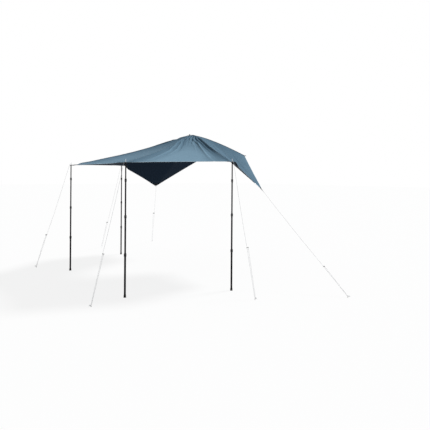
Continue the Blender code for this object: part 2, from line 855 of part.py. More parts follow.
def line_slider(name, guy):
    """A flat bar with a hole for each strand of the line, square to the line."""
    flat = bpy.data.curves.new(f"{name}_line_slider", "CURVE")
    flat.dimensions = "2D"
    flat.fill_mode = "BOTH"
    flat.extrude = SLIDER_THICKNESS / 2
    half = SLIDER_SPACING / 2
    outline = []
    for centre, start in ((half, -math.pi / 2), (-half, math.pi / 2)):
        for i in range(7):
            angle = start + math.pi * i / 6
            reach = SLIDER_END_RADIUS
            outline.append((centre + reach * math.cos(angle), reach * math.sin(angle)))
    outlines = [outline]
    for centre in (half, -half):
        turns = [2 * math.pi * i / 10 for i in range(10)]
        reach = SLIDER_HOLE_RADIUS
        outlines.append([(centre + reach * math.cos(a), reach * math.sin(a)) for a in turns])
    for ring in outlines:
        spline = flat.splines.new("POLY")
        spline.points.add(len(ring) - 1)
        for point, (x, y) in zip(spline.points, ring):
            point.co = (x, y, 0, 1)
        spline.use_cyclic_u = True
    centre = guy["slider"] - guy["side"] * half
    across = guy["down"].cross(guy["side"]).normalized()
    bar = add_object(f"{name}_line_slider", flat, BLACK_PLASTIC)
    bar.matrix_world = frame_matrix(centre, guy["side"], across, guy["down"])


def peg(name, guy):
    """A bent steel peg that leans away from the canopy, with its hook above the line's loop."""
    stem, away, held = guy["stem"], guy["away"], guy["held"]
    out = away * math.cos(PEG_LEAN) - UP * math.sin(PEG_LEAN)
    neck = held + stem * PEG_NECK
    hub = neck + out * PEG_HOOK_RADIUS
    route = [held - stem * (PEG_LENGTH - x) for x in (0, PEG_POINT_LENGTH, PEG_LENGTH * 0.6)]
    for i in range(7):
        angle = PEG_HOOK_TURN * i / 6
        route.append(hub + PEG_HOOK_RADIUS * (stem * math.sin(angle) - out * math.cos(angle)))
    rod(f"{name}_peg", route, PEG_DIAMETER, BRIGHT_METAL, {0: PEG_POINT_SHARE})


def guying(name, centre, normal):
    """The line, slider and peg of one corner."""
    is_wing = name.startswith("wing")
    guy = guy_geometry(name, centre, is_wing)
    start = wing_loop(centre, guy, normal) if is_wing else pin_loop(centre, guy)
    guy_line(name, start, guy)
    line_slider(name, guy)
    peg(name, guy)


def build():
    """Make every piece of the awning."""
    for word, side in (("left", -1), ("right", 1)):
        telescoping_pole(f"front_{word}", side * FRONT_HALF_WIDTH, 0, FRONT_HEIGHT)
        telescoping_pole(f"rear_{word}", side * REAR_HALF_WIDTH, REAR_DEPTH, REAR_HEIGHT)
    cloth = canopy()
    for name, centre, normal in eyelet_places():
        eyelet(name, centre, normal, cloth)
        guying(name, centre, normal)
    hook("peak_hook", peak_frame(), cloth)
    hook("left_hook", foot_frame(-1), cloth)
    hook("right_hook", foot_frame(1), cloth)


clear_scene()
AWNING = new_collection("rooftop_tent_awning")
CUTTERS = new_collection("cutters")
build()
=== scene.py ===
# %% [markdown]
# A rooftop tent awning: one sheet of cloth on four telescoping poles, held out by six guy lines.
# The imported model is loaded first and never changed. It holds every solid at its real place, in
# metres, with the origin on the ground midway between the two front poles and +Z up. All that is
# made below lies around it.

# %% Load the frame
import math

import bmesh
import bpy
from mathutils import Matrix, Vector, noise


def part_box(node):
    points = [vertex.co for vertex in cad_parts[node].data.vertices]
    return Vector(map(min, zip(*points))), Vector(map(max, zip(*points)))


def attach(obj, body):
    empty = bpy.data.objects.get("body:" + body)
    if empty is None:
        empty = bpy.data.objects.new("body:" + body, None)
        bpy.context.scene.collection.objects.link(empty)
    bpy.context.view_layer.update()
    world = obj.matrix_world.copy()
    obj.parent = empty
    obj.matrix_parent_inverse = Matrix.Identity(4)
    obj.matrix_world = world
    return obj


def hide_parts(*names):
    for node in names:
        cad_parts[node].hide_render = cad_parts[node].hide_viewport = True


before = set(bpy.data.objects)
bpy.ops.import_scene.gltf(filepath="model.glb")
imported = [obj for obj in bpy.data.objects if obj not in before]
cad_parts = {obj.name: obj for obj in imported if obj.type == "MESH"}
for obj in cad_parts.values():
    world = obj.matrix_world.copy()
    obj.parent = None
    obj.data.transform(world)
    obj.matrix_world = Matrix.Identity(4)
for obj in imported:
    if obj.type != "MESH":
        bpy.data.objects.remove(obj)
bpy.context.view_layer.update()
UP = Vector((0, 0, 1))

# %% [markdown]
# The camera stands at eye height, to the right of the front edge. A level camera keeps the poles
# upright in the picture, so the object is brought to the right height by a small shift of the lens
# and not by tilting. The lens and the place come from the poles, whose heights are known, and from
# a small roll of the camera.

# %% Camera
CAMERA_PLACE = Vector((6.353, -2.829, 1.838))
CAMERA_VIEW = Vector((-0.750, 0.661, 0)).normalized()
CAMERA_ROLL = 0.0071
CAMERA_LENS = 32.1
CAMERA_SHIFT = -0.0887

camera_data = bpy.data.cameras.new("camera")
camera_data.sensor_width = 36
camera_data.lens = CAMERA_LENS
camera_data.shift_y = CAMERA_SHIFT
camera = bpy.data.objects.new("camera", camera_data)
bpy.context.scene.collection.objects.link(camera)
level = CAMERA_VIEW.cross(UP)
camera_up = (UP * math.cos(CAMERA_ROLL) - level * math.sin(CAMERA_ROLL)).normalized()
camera_right = CAMERA_VIEW.cross(camera_up)
turn = Matrix((camera_right, camera_up, -CAMERA_VIEW)).transposed().to_4x4()
camera.matrix_world = Matrix.Translation(CAMERA_PLACE) @ turn
bpy.context.scene.camera = camera
print("camera at", tuple(CAMERA_PLACE), "lens", CAMERA_LENS)

# %% [markdown]
# The light of the world, the floor and every finish are trees of nodes. These helpers keep the
# trees short to read. The first adds a node and sets or links its inputs. The others return the
# output of one kind of node, so that steps can be nested like a formula.

# %% Helpers for node trees


def add_node(tree, kind, inputs=None, **settings):
    """A node with its settings, and its inputs set to numbers or linked from other outputs."""
    node = tree.nodes.new(kind)
    for setting, value in settings.items():
        setattr(node, setting, value)
    for name, value in (inputs or {}).items():
        if isinstance(value, bpy.types.NodeSocket):
            tree.links.new(value, node.inputs[name])
        else:
            node.inputs[name].default_value = value
    return node


def maths(tree, operation, *values):
    """The output of a Math node, whose inputs are numbers or other outputs."""
    node = add_node(tree, "ShaderNodeMath", dict(enumerate(values)), operation=operation)
    return node.outputs["Value"]


def times_plus(tree, value, factor, base):
    """The output of value * factor + base."""
    return maths(tree, "ADD", maths(tree, "MULTIPLY", value, factor), base)


def map_range(tree, value, low, high, start, end):
    """The output that runs from start to end while a value runs from low to high."""
    ends = {"Value": value, "From Min": low, "From Max": high, "To Min": start, "To Max": end}
    return add_node(tree, "ShaderNodeMapRange", ends).outputs["Result"]


def noise_value(tree, vector, scale, detail, roughness=0.5):
    """The output of a Noise texture, which swings about 0.5."""
    inputs = {"Vector": vector, "Scale": scale, "Detail": detail, "Roughness": roughness}
    return add_node(tree, "ShaderNodeTexNoise", inputs).outputs["Fac"]


def object_place(tree):
    """The place on the piece in metres, which moves with the piece."""
    return add_node(tree, "ShaderNodeTexCoord").outputs["Object"]


def finish_colour(tree, base, other, mask):
    """The output of a colour mix: base where the mask is 0, other where it is 1."""
    base, other = (c if isinstance(c, bpy.types.NodeSocket) else (*c, 1) for c in (base, other))
    mix = add_node(tree, "ShaderNodeMix", {0: mask, 6: base, 7: other}, data_type="RGBA")
    return mix.outputs[2]


def new_look(name, roughness, metallic=0.0, **sockets):
    """A material, its tree and its Principled shader, with its plain values set."""
    look = bpy.data.materials.new(name)
    look.use_nodes = True
    shader = look.node_tree.nodes["Principled BSDF"]
    shader.inputs["Roughness"].default_value = roughness
    shader.inputs["Metallic"].default_value = metallic
    for socket, value in sockets.items():
        shader.inputs[socket.replace("_", " ")].default_value = value
    return look, look.node_tree, shader


def finish_shader(tree, shader, height, strength, distance, **inputs):
    """Drive a shader's normal by a height, and its other inputs by the outputs named."""
    bump = add_node(
        tree, "ShaderNodeBump", {"Height": height, "Strength": strength, "Distance": distance}
    )
    tree.links.new(bump.outputs["Normal"], shader.inputs["Normal"])
    for socket, value in inputs.items():
        tree.links.new(value, shader.inputs[socket.replace("_", " ")])


# %% [markdown]
# A picture of a thing on white needs two lights: a weak, even one from all round, which the world
# gives, and a soft key light that shapes the folds. The key stands high and behind, so that it
# rakes across the folds and shows each as a dark and a light line. Together they light a level
# surface just enough to show a colour as it is written. The camera sees the world as plain white,
# and so do polished and clear surfaces.

# %% World and key light
SKY_COLOUR = (0.95, 0.98, 1, 1)
SKY_LIGHT = 0.24
KEY_STRENGTH = 2.9
KEY_SOFTNESS = math.radians(12)
KEY_FROM = Vector((0.16, 0.60, 0.79))

bpy.context.scene.view_settings.view_transform = "Standard"
world = bpy.data.worlds.new("studio")
bpy.context.scene.world = world
world.use_nodes = True
tree = world.node_tree
sky = tree.nodes["Background"]
sky.inputs["Color"].default_value = SKY_COLOUR
sky.inputs["Strength"].default_value = SKY_LIGHT
white = add_node(tree, "ShaderNodeBackground", {"Color": (1, 1, 1, 1)})
ray = add_node(tree, "ShaderNodeLightPath")
seen = maths(tree, "MAXIMUM", ray.outputs["Is Camera Ray"], ray.outputs["Is Glossy Ray"])
seen = maths(tree, "MAXIMUM", seen, ray.outputs["Is Transmission Ray"])
shown = {"Fac": seen, 1: sky.outputs["Background"], 2: white.outputs["Background"]}
choice = add_node(tree, "ShaderNodeMixShader", shown)
tree.links.new(choice.outputs["Shader"], tree.nodes["World Output"].inputs["Surface"])

key_data = bpy.data.lights.new("key", "SUN")
key_data.energy = KEY_STRENGTH
key_data.angle = KEY_SOFTNESS
key = bpy.data.objects.new("key", key_data)
key.rotation_euler = KEY_FROM.to_track_quat("Z", "Y").to_euler()
bpy.context.scene.collection.objects.link(key)
print("sky", SKY_LIGHT, "key", KEY_STRENGTH)

# %% [markdown]
# The floor is a plain plane. The camera sees it mostly white of its own, with a share of real
# shading, so that a faint shadow stays. It is stage, so it isn't part of the object.

# %% Floor
FLOOR_SIZE = 160
FLOOR_DROP = 0.0005
FLOOR_COLOUR = (0.93, 0.93, 0.93, 1)
FLOOR_OWN_LIGHT = 0.86

bpy.ops.object.select_all(action="DESELECT")
bpy.ops.mesh.primitive_plane_add(size=FLOOR_SIZE, location=(0, 0, -FLOOR_DROP))
floor = bpy.context.object
floor.name = "floor"
floor_look, tree, shader = new_look("pale_floor", 0.9, Specular_IOR_Level=0.1)
shader.inputs["Base Color"].default_value = FLOOR_COLOUR
glow = add_node(tree, "ShaderNodeEmission")
ray = add_node(tree, "ShaderNodeLightPath")
own_light = maths(tree, "MULTIPLY", ray.outputs["Is Camera Ray"], FLOOR_OWN_LIGHT)
shown = {"Fac": own_light, 1: shader.outputs["BSDF"], 2: glow.outputs["Emission"]}
mix = add_node(tree, "ShaderNodeMixShader", shown)
tree.links.new(mix.outputs["Shader"], tree.nodes["Material Output"].inputs["Surface"])
floor.data.materials.append(floor_look)
print("floor", FLOOR_SIZE, "metres wide")

# %% [markdown]
# The finishes come before the pieces. Each material is a Principled shader, and what several of
# them share is a node group: the weave of cloth and webbing, the grain of moulded plastic, rubbed
# streaks, dust near the ground, and rows of stitches. A group gives masks, shades and heights
# only. The material decides which colour, roughness or bump they drive.

# %% Helpers for node groups
VECTOR = "NodeSocketVector"
NUMBER = "NodeSocketFloat"


def new_group(name, inputs, outputs):
    """A node group with named sockets, (name, kind, default) in and (name, kind) out."""
    group = bpy.data.node_groups.new(name, "ShaderNodeTree")
    for label, kind, value in inputs:
        socket = group.interface.new_socket(label, in_out="INPUT", socket_type=kind)
        if value is not None:
            socket.default_value = value
    for label, kind in outputs:
        group.interface.new_socket(label, in_out="OUTPUT", socket_type=kind)
    return group, group.nodes.new("NodeGroupInput"), group.nodes.new("NodeGroupOutput")


def put_out(group, result, **outputs):
    """Link what a group has worked out to its named output sockets."""
    for label, value in outputs.items():
        group.links.new(value, result.inputs[label])
    print("group", group.name, "has", len(group.nodes), "nodes")


def place_group(tree, group, inputs):
    """A node group in a material, with that material's own values."""
    return add_node(tree, "ShaderNodeGroup", inputs, node_tree=group)


# %% [markdown]
# A plain weave is a chequerboard in which the warp shows in one square and the weft in the next,
# each thread round on top. Two sine waves and a Checker texture draw that. It is laid out on a UV
# map in metres, so the threads keep one size all over the cloth, whichever way the surface turns.
# Slubs are the thicker, darker places that any spun thread has.

# %% The weave
CLOTH_THREADS = 1400.0
SLUB_SCALE = 90.0


def thread_tops(tree, across):
    """The round tops of threads that lie side by side, each of them one unit wide."""
    return maths(tree, "ABSOLUTE", maths(tree, "SINE", maths(tree, "MULTIPLY", across, math.pi)))


weave, given, result = new_group(
    "weave",
    [("Vector", VECTOR, None), ("Threads", NUMBER, CLOTH_THREADS)],
    [("Height", NUMBER), ("Shade", NUMBER)],
)
inputs = {0: given.outputs["Vector"], "Scale": given.outputs["Threads"]}
squares = add_node(weave, "ShaderNodeVectorMath", inputs, operation="SCALE").outputs["Vector"]
parts = add_node(weave, "ShaderNodeSeparateXYZ", {0: squares})
warp = thread_tops(weave, parts.outputs["X"])
weft = thread_tops(weave, parts.outputs["Y"])
over = add_node(weave, "ShaderNodeTexChecker", {"Vector": squares, "Scale": 1.0})
inputs = {0: over.outputs["Fac"], 2: warp, 3: weft}
thread = add_node(weave, "ShaderNodeMix", inputs, data_type="FLOAT")
slubs = noise_value(weave, given.outputs["Vector"], SLUB_SCALE, 3.0)
put_out(weave, result, Height=thread.outputs[0], Shade=slubs)

# %% [markdown]
# Moulded plastic and rubber have a fine spark-eroded grain. Black tubes that slide in each other
# are rubbed in long streaks. Both are noise, the second one stretched along the pole's axis.

# %% Grain and rubbed streaks
SHADE_SCALE = 14.0
STREAK_STRETCH = (650, 650, 5)
RUBBED_AREA_SCALE = 9.0
RUBBED_FROM = 0.30
RUBBED_FULL = 0.42

grain, given, result = new_group(
    "grain", [("Size", NUMBER, 900.0)], [("Height", NUMBER), ("Shade", NUMBER)]
)
spot = object_place(grain)
fine = noise_value(grain, spot, given.outputs["Size"], 2.0)
broad = noise_value(grain, spot, SHADE_SCALE, 4.0)
put_out(grain, result, Height=fine, Shade=broad)

streaks, given, result = new_group(
    "streaks", [("Amount", NUMBER, 0.3)], [("Mask", NUMBER), ("Height", NUMBER)]
)
spot = object_place(streaks)
drawn = add_node(streaks, "ShaderNodeMapping", {"Vector": spot, "Scale": STREAK_STRETCH})
lines = noise_value(streaks, drawn.outputs["Vector"], 1.0, 3.0)
areas = noise_value(streaks, spot, RUBBED_AREA_SCALE, 2.0)
both = maths(streaks, "MULTIPLY", lines, areas)
rubbed = map_range(streaks, both, RUBBED_FROM, RUBBED_FULL, 0.0, given.outputs["Amount"])
put_out(streaks, result, Mask=rubbed, Height=lines)

# %% [markdown]
# What stands on the ground picks up dust. The mask is strongest at the ground, is gone at a height
# that each material sets, and is broken up by noise so that it has no clean edge.

# %% Dust
SPECK_SCALE = 60.0
DUST_FROM = 0.15
DUST_FULL = 0.6

dust, given, result = new_group(
    "dust", [("Reach", NUMBER, 0.3), ("Amount", NUMBER, 0.6)], [("Mask", NUMBER)]
)
spot = object_place(dust)
height = add_node(dust, "ShaderNodeSeparateXYZ", {0: spot}).outputs["Z"]
risen = maths(dust, "DIVIDE", height, given.outputs["Reach"])
fallen = maths(dust, "MAXIMUM", maths(dust, "SUBTRACT", 1.0, risen), 0.0)
spread = maths(dust, "MULTIPLY", fallen, noise_value(dust, spot, SPECK_SCALE, 6.0))
dusty = map_range(dust, spread, DUST_FROM, DUST_FULL, 0.0, given.outputs["Amount"])
put_out(dust, result, Mask=dusty)

# %% [markdown]
# A row of stitches is a dashed line. On the UV map of a hem or a seam, U runs along it and V
# across it, both in metres, so a stitch is where U is in the long part of its period and V is
# within half a thread of the row. The group draws two rows, for the two needles of the machine.

# %% Stitches
STITCH_PERIOD = 0.004
STITCH_SHARE = 0.72
HALF_THREAD = 0.0006

stitches, given, result = new_group(
    "stitches",
    [("Vector", VECTOR, None), ("First Row", NUMBER, 0.003), ("Second Row", NUMBER, 0.018)],
    [("Mask", NUMBER)],
)
parts = add_node(stitches, "ShaderNodeSeparateXYZ", {0: given.outputs["Vector"]})
beat = maths(stitches, "FRACT", maths(stitches, "DIVIDE", parts.outputs["X"], STITCH_PERIOD))
dash = maths(stitches, "LESS_THAN", beat, STITCH_SHARE)
rows = []
for label in ("First Row", "Second Row"):
    off = maths(stitches, "SUBTRACT", parts.outputs["Y"], given.outputs[label])
    rows.append(maths(stitches, "LESS_THAN", maths(stitches, "ABSOLUTE", off), HALF_THREAD))
either = maths(stitches, "MAXIMUM", *rows)
put_out(stitches, result, Mask=maths(stitches, "MULTIPLY", either, dash))

# %% [markdown]
# The canopy is coated polyester. Its face is a dusty blue with a little sheen, uneven in tone at
# random, with painted light and painted shade on it: lighter on the outer panels, darker at the
# gather and on the flanks. The underside has a dark coating, smoother and much darker, darkened
# partly as painted shade, so the space below the roof looks navy. Both share one function: only the
# colours and numbers differ. How much light or shade is painted on the cloth, how far its hem is
# curled and how far a point lies from the nearest eyelet are numbers that its mesh carries, so that
# the looks follow the sheet's own form.

# %% Cloth
# The plain blue is the cloth under painted shade, and the lighter second colour below is the cloth under
# painted light: a number on the mesh mixes the two.
CLOTH_BLUE = (0.084, 0.153, 0.216)
# the dark coating, darkened partly as painted shade so that it stays dark in the floor's bounce light
COATING_WITH_PAINTED_SHADE = (0.0072, 0.0155, 0.0290)
# a lighter coating: the underside's painted light, also used for its hem
COATING_PAINTED_LIGHTER = (0.0095, 0.0185, 0.0330)
# On the face the hem and tape colours are pale: a painted highlight along the edge.
FACE_COLOURS = {
    "plain": CLOTH_BLUE, "painted_lit": (0.225, 0.362, 0.470), "hem": (0.250, 0.385, 0.485),
    "tape_and_highlight": (0.560, 0.650, 0.710), "thread": (0.26, 0.35, 0.43),
}
COATED_COLOURS = {
    "plain": COATING_WITH_PAINTED_SHADE, "painted_lit": COATING_PAINTED_LIGHTER, "hem": COATING_PAINTED_LIGHTER, "tape_and_highlight": COATING_WITH_PAINTED_SHADE,
    "thread": (0.03, 0.04, 0.05),
}
CLOUD_SCALE = 1.7
CLOUD_SHARE = 0.5
SLUB_TONE = 0.9
SLUB_SHARE = 0.25


def toned(colour, factor):
    return tuple(factor * c for c in colour)


def mesh_number(tree, name):
    """A number that the piece's mesh carries at each of its points."""
    return add_node(tree, "ShaderNodeAttribute", attribute_name=name).outputs["Fac"]


def mesh_map(tree, name):
    """A UV map of the piece, whole and as its two parts."""
    whole = add_node(tree, "ShaderNodeUVMap", uv_map=name).outputs["UV"]
    parts = add_node(tree, "ShaderNodeSeparateXYZ", {0: whole})
    return whole, parts.outputs["X"], parts.outputs["Y"]


def plain_cloth(tree, colours, shade):
    """The colour of the cloth with nothing sewn on: painted light and shade, clouds of tone, darker slubs.
    """
    clouds = noise_value(tree, object_place(tree), CLOUD_SCALE, 5.0, 0.6)
    clouds = maths(tree, "MULTIPLY", maths(tree, "SUBTRACT", clouds, 0.5), CLOUD_SHARE)
    # the mesh's number adds painted light and painted shade; the clouds are random tone of the cloth
    painted_light_and_clouds = maths(tree, "ADD", mesh_number(tree, "painted_lit"), clouds)
    tone = finish_colour(tree, colours["plain"], colours["painted_lit"], painted_light_and_clouds)
    slubs = maths(tree, "MULTIPLY", shade, SLUB_SHARE)
    return finish_colour(tree, tone, toned(colours["plain"], SLUB_TONE), slubs)


# %% [markdown]
# What is sewn on follows the cloth's own maps, so its edges are clean lines: a hem with a grey edge
# tape, both painted pale on the face as a painted highlight along the edge, a seam up each ridge, a
# black patch at each eyelet, and a coarse navy webbing that binds the arched inner edge, which
# carries all the pull. Where the lines curl the front hem down, it is painted black as painted shade
# on the curl. The stitches are dark on what is black, and the rows along the seams end where a patch
# or the webbing covers them.

# %% What is sewn on the cloth
HEM_DEPTH = 0.026
EDGE_TAPE = 0.014
SEAM_HALF_WIDTH = 0.006
PATCH_RADIUS = 0.074
BAND_DEPTH = 0.036
HEM_ROWS = (0.003, HEM_DEPTH - 0.004)
SEAM_ROWS = (SEAM_HALF_WIDTH - 0.0015, SEAM_HALF_WIDTH - 0.0045)
PATCH_ROWS = (PATCH_RADIUS - 0.004, PATCH_RADIUS - 0.012)
SEWN_EDGE_BLUR = 0.0006
CURL_SHOWN = 0.02
SEAM_TONE = 0.65
DARK_THREAD = 0.26
# black of the eyelet patches, also painted on the curled front hem as painted shade
PATCH_BLACK_AND_CURL_SHADE = (0.018, 0.020, 0.024)
WEBBING_NAVY = (0.030, 0.056, 0.082)
WEBBING_WORN = (0.050, 0.090, 0.128)
WEBBING_WEAR = 0.9
WEBBING_THREADS = 650.0
STITCH_RISE = 3.0
WEBBING_RISE = 3.0


def below(tree, value, limit):
    """A mask that is 1 where a distance is under a limit."""
    return map_range(tree, value, limit - SEWN_EDGE_BLUR, limit, 1.0, 0.0)


def sewn_rows(tree, rows):
    """The mask of all stitches: pairs of rows on a map, each with where it shows."""
    sewn = 0.0
    for vector, (first, second), shown in rows:
        inputs = {"Vector": vector, "First Row": first, "Second Row": second}
        row = place_group(tree, stitches, inputs)
        sewn = maths(tree, "MAXIMUM", sewn, maths(tree, "MULTIPLY", row.outputs["Mask"], shown))
    return sewn


def cloth_look(name, colours, roughness, sheen):
    """One side of the cloth, with all that is sewn on it laid over its plain colour in turn."""
    look, tree, shader = new_look(
        name, roughness, Sheen_Weight=sheen, Sheen_Roughness=0.4, Specular_IOR_Level=0.03
    )
    metres = mesh_map(tree, "metres")[0]
    hem_map, along_hem, to_edge = mesh_map(tree, "hem")
    seam_map, from_arch, to_seam = mesh_map(tree, "seam")
    to_eyelet = mesh_number(tree, "corner")
    patch_map = add_node(tree, "ShaderNodeCombineXYZ", {"X": along_hem, "Y": to_eyelet})
    threads = place_group(tree, weave, {"Vector": metres})
    webbing = place_group(tree, weave, {"Vector": metres, "Threads": WEBBING_THREADS})

    # the curled front hem is painted black: painted shade where it bends down
    curl_painted_shade = maths(tree, "GREATER_THAN", mesh_number(tree, "curled"), CURL_SHOWN)
    on_patch = below(tree, to_eyelet, PATCH_RADIUS)
    on_band = below(tree, from_arch, BAND_DEPTH)
    worn = maths(tree, "MULTIPLY", webbing.outputs["Shade"], WEBBING_WEAR)
    layers = (
        # the pale hem and tape on the face are a painted highlight along the edge
        (colours["hem"], below(tree, to_edge, HEM_DEPTH)),
        (colours["tape_and_highlight"], below(tree, to_edge, EDGE_TAPE)),
        (PATCH_BLACK_AND_CURL_SHADE, curl_painted_shade),
        (toned(colours["plain"], SEAM_TONE), below(tree, to_seam, SEAM_HALF_WIDTH)),
        (PATCH_BLACK_AND_CURL_SHADE, on_patch),
        (finish_colour(tree, WEBBING_NAVY, WEBBING_WORN, worn), on_band),
    )
    tone = plain_cloth(tree, colours, threads.outputs["Shade"])
    for layer, place in layers:
        tone = finish_colour(tree, tone, layer, place)

    uncovered = maths(tree, "SUBTRACT", 1.0, maths(tree, "MAXIMUM", on_patch, on_band))
    rows = (
        (hem_map, HEM_ROWS, 1.0),
        (seam_map, SEAM_ROWS, uncovered),
        (patch_map.outputs["Vector"], PATCH_ROWS, 1.0),
    )
    sewn = sewn_rows(tree, rows)
    on_black = maths(tree, "MAXIMUM", on_patch, curl_painted_shade)
    dark_thread = toned(colours["thread"], DARK_THREAD)
    thread_tone = finish_colour(tree, colours["thread"], dark_thread, on_black)
    tone = finish_colour(tree, tone, thread_tone, sewn)
    height = times_plus(tree, sewn, STITCH_RISE, threads.outputs["Height"])
    coarse = maths(tree, "MULTIPLY", webbing.outputs["Height"], on_band)
    height = times_plus(tree, coarse, WEBBING_RISE, height)
    finish_shader(tree, shader, height, 0.35, 0.0002, Base_Color=tone)
    print("look", name, "has", len(tree.nodes), "nodes")
    return look


cloth_top = cloth_look("cloth_face", FACE_COLOURS, 0.85, 0.03)
cloth_under = cloth_look("cloth_coated_side", COATED_COLOURS, 0.62, 0.0)

# %% [markdown]
# The poles are black anodised aluminium, the locks and sliders black nylon, the feet rubber. The
# bright parts are steel: plated eyelets, the pins on the poles, and galvanised pegs with the
# spangle that zinc has. A black finish needs little of the shader's shine, or its rims turn white.

# %% Tube, plastic, rubber and steel
DRY_DUST = (0.36, 0.33, 0.28)
TUBE_BLACK = (0.006, 0.006, 0.007)
TUBE_RUBBED = (0.024, 0.024, 0.026)
LOCK_BLACK = (0.016, 0.016, 0.017)
LOCK_WORN = (0.034, 0.034, 0.036)
NYLON_BLACK = (0.012, 0.012, 0.013)
NYLON_WORN = (0.030, 0.030, 0.032)
RUBBER_BLACK = (0.012, 0.012, 0.012)
RUBBER_WORN = (0.030, 0.029, 0.028)
STEEL_GRAIN = 700.0
DULL_FLAKE = 0.72


def dusted(tree, tone, reach, amount):
    """The colour with dust on it near the ground, and the mask of that dust."""
    mask = place_group(tree, dust, {"Reach": reach, "Amount": amount}).outputs["Mask"]
    return finish_colour(tree, tone, DRY_DUST, mask), mask


def tube_look(name):
    """Black anodised tube, rubbed in streaks, which are rougher, as is the dust."""
    look, tree, shader = new_look(name, 0.42, Specular_IOR_Level=0.06)
    rubbed = place_group(tree, streaks, {"Amount": 0.35})
    tone = finish_colour(tree, TUBE_BLACK, TUBE_RUBBED, rubbed.outputs["Mask"])
    tone, dirt = dusted(tree, tone, 0.22, 0.10)
    rough = times_plus(tree, rubbed.outputs["Height"], 0.12, 0.34)
    rough = times_plus(tree, dirt, 0.4, rough)
    height = rubbed.outputs["Height"]
    finish_shader(tree, shader, height, 0.08, 0.0001, Base_Color=tone, Roughness=rough)
    return look


def moulded_look(name, colour, worn, roughness, size, dust_reach, dust_amount):
    """Moulded nylon or rubber with a grain of this size, paler where hands have worn it."""
    look, tree, shader = new_look(name, roughness, Specular_IOR_Level=0.22)
    skin = place_group(tree, grain, {"Size": size})
    tone = finish_colour(tree, colour, worn, skin.outputs["Shade"])
    tone, _ = dusted(tree, tone, dust_reach, dust_amount)
    rough = times_plus(tree, skin.outputs["Shade"], 0.2, roughness - 0.1)
    height = skin.outputs["Height"]
    finish_shader(tree, shader, height, 0.35, 0.0002, Base_Color=tone, Roughness=rough)
    return look


def steel_look(name, colour, roughness, spangle, dust_reach, dust_amount):
    """Plated steel, whose flakes differ in tone and roughness, dull where dust lies."""
    look, tree, shader = new_look(name, roughness, 1.0)
    inputs = {"Vector": object_place(tree), "Scale": spangle}
    cells = add_node(tree, "ShaderNodeTexVoronoi", inputs)
    flake = add_node(tree, "ShaderNodeSeparateXYZ", {0: cells.outputs["Color"]}).outputs["X"]
    wear = place_group(tree, grain, {"Size": STEEL_GRAIN})
    dull_share = maths(tree, "MULTIPLY", flake, 0.6)
    tone = finish_colour(tree, colour, toned(colour, DULL_FLAKE), dull_share)
    tone, dirt = dusted(tree, tone, dust_reach, dust_amount)
    rough = times_plus(tree, flake, 0.18, roughness - 0.06)
    shine = maths(tree, "SUBTRACT", 1.0, dirt)
    finish_shader(
        tree, shader, wear.outputs["Height"], 0.15, 0.0001,
        Base_Color=tone, Roughness=rough, Metallic=shine,
    )
    return look


black_tube = tube_look("black_anodised_tube")
# colour, worn colour, roughness, grain size, then how high and how thick dust lies
lock_nylon = moulded_look("lock_nylon", LOCK_BLACK, LOCK_WORN, 0.5, 1100, 0.3, 0.1)
foot_rubber = moulded_look("foot_rubber", RUBBER_BLACK, RUBBER_WORN, 0.85, 600, 0.04, 0.3)
slider_nylon = moulded_look("slider_nylon", NYLON_BLACK, NYLON_WORN, 0.45, 1300, 0.3, 0.1)
hook_nylon = moulded_look("hook_nylon", NYLON_BLACK, NYLON_WORN, 0.5, 1100, 0.3, 0.1)
# colour, roughness, scale of the spangle, then how high and how thick dust lies
plated = steel_look("plated_steel", (0.66, 0.67, 0.69), 0.24, 60, 0.05, 0.2)
pin_steel = steel_look("pin_steel", (0.72, 0.73, 0.75), 0.22, 90, 0.05, 0.1)
zinc = steel_look("galvanised_steel", (0.56, 0.58, 0.60), 0.34, 260, 0.03, 0.85)
print("materials", len(bpy.data.materials))

# %% [markdown]
# The guy line is a braided cord, 3 mm thick: pale grey with a darker fleck in the braid. On its UV
# map U runs once round the cord and V along it in metres, so the strands cross in diamonds of one
# size from the eyelet to the knot.

# %% Braided cord
BRAID_STRANDS = 8
BRAID_LENGTH = 0.0075
# the valleys between strands are painted darker than the tops: painted shade in the braid
STRAND_VALLEY_SHADE = (0.44, 0.45, 0.47)
STRAND_TOP = (0.76, 0.77, 0.79)
FLECK_NAVY = (0.10, 0.13, 0.17)
FLECK_FROM = 0.92
FLECK_SHARE = 0.6


def cord_look(name):
    """Strands that wind round the cord both ways, a fleck that winds once a braid, and dust."""
    look, tree, shader = new_look(name, 0.75, Sheen_Weight=0.2)
    _, once_round, metres = mesh_map(tree, "metres")
    around = maths(tree, "MULTIPLY", once_round, BRAID_STRANDS * math.pi)
    along = maths(tree, "MULTIPLY", metres, 2 * math.pi / BRAID_LENGTH)
    right_hand = maths(tree, "SINE", maths(tree, "ADD", around, along))
    left_hand = maths(tree, "SINE", maths(tree, "SUBTRACT", around, along))
    strands = maths(tree, "ABSOLUTE", maths(tree, "MULTIPLY", right_hand, left_hand))
    winding = maths(tree, "SINE", times_plus(tree, once_round, 2 * math.pi, along))
    fleck = maths(tree, "GREATER_THAN", winding, FLECK_FROM)
    # painted shade in the valleys between the strands
    tone = finish_colour(tree, STRAND_VALLEY_SHADE, STRAND_TOP, strands)
    tone = finish_colour(tree, tone, FLECK_NAVY, maths(tree, "MULTIPLY", fleck, FLECK_SHARE))
    tone, _ = dusted(tree, tone, 0.12, 0.5)
    finish_shader(tree, shader, strands, 0.6, 0.0004, Base_Color=tone)
    print("look", name, "has", len(tree.nodes), "nodes")
    return look


braid = cord_look("braided_cord")

# %% [markdown]
# The places come from the frame: an eyelet's centre is the middle of its box. Each line is tied to
# its eyelet and held by a peg, which leans away from the canopy. The offsets say how far each peg
# stands from the point under its eyelet, and the shares how far down its line a slider sits.

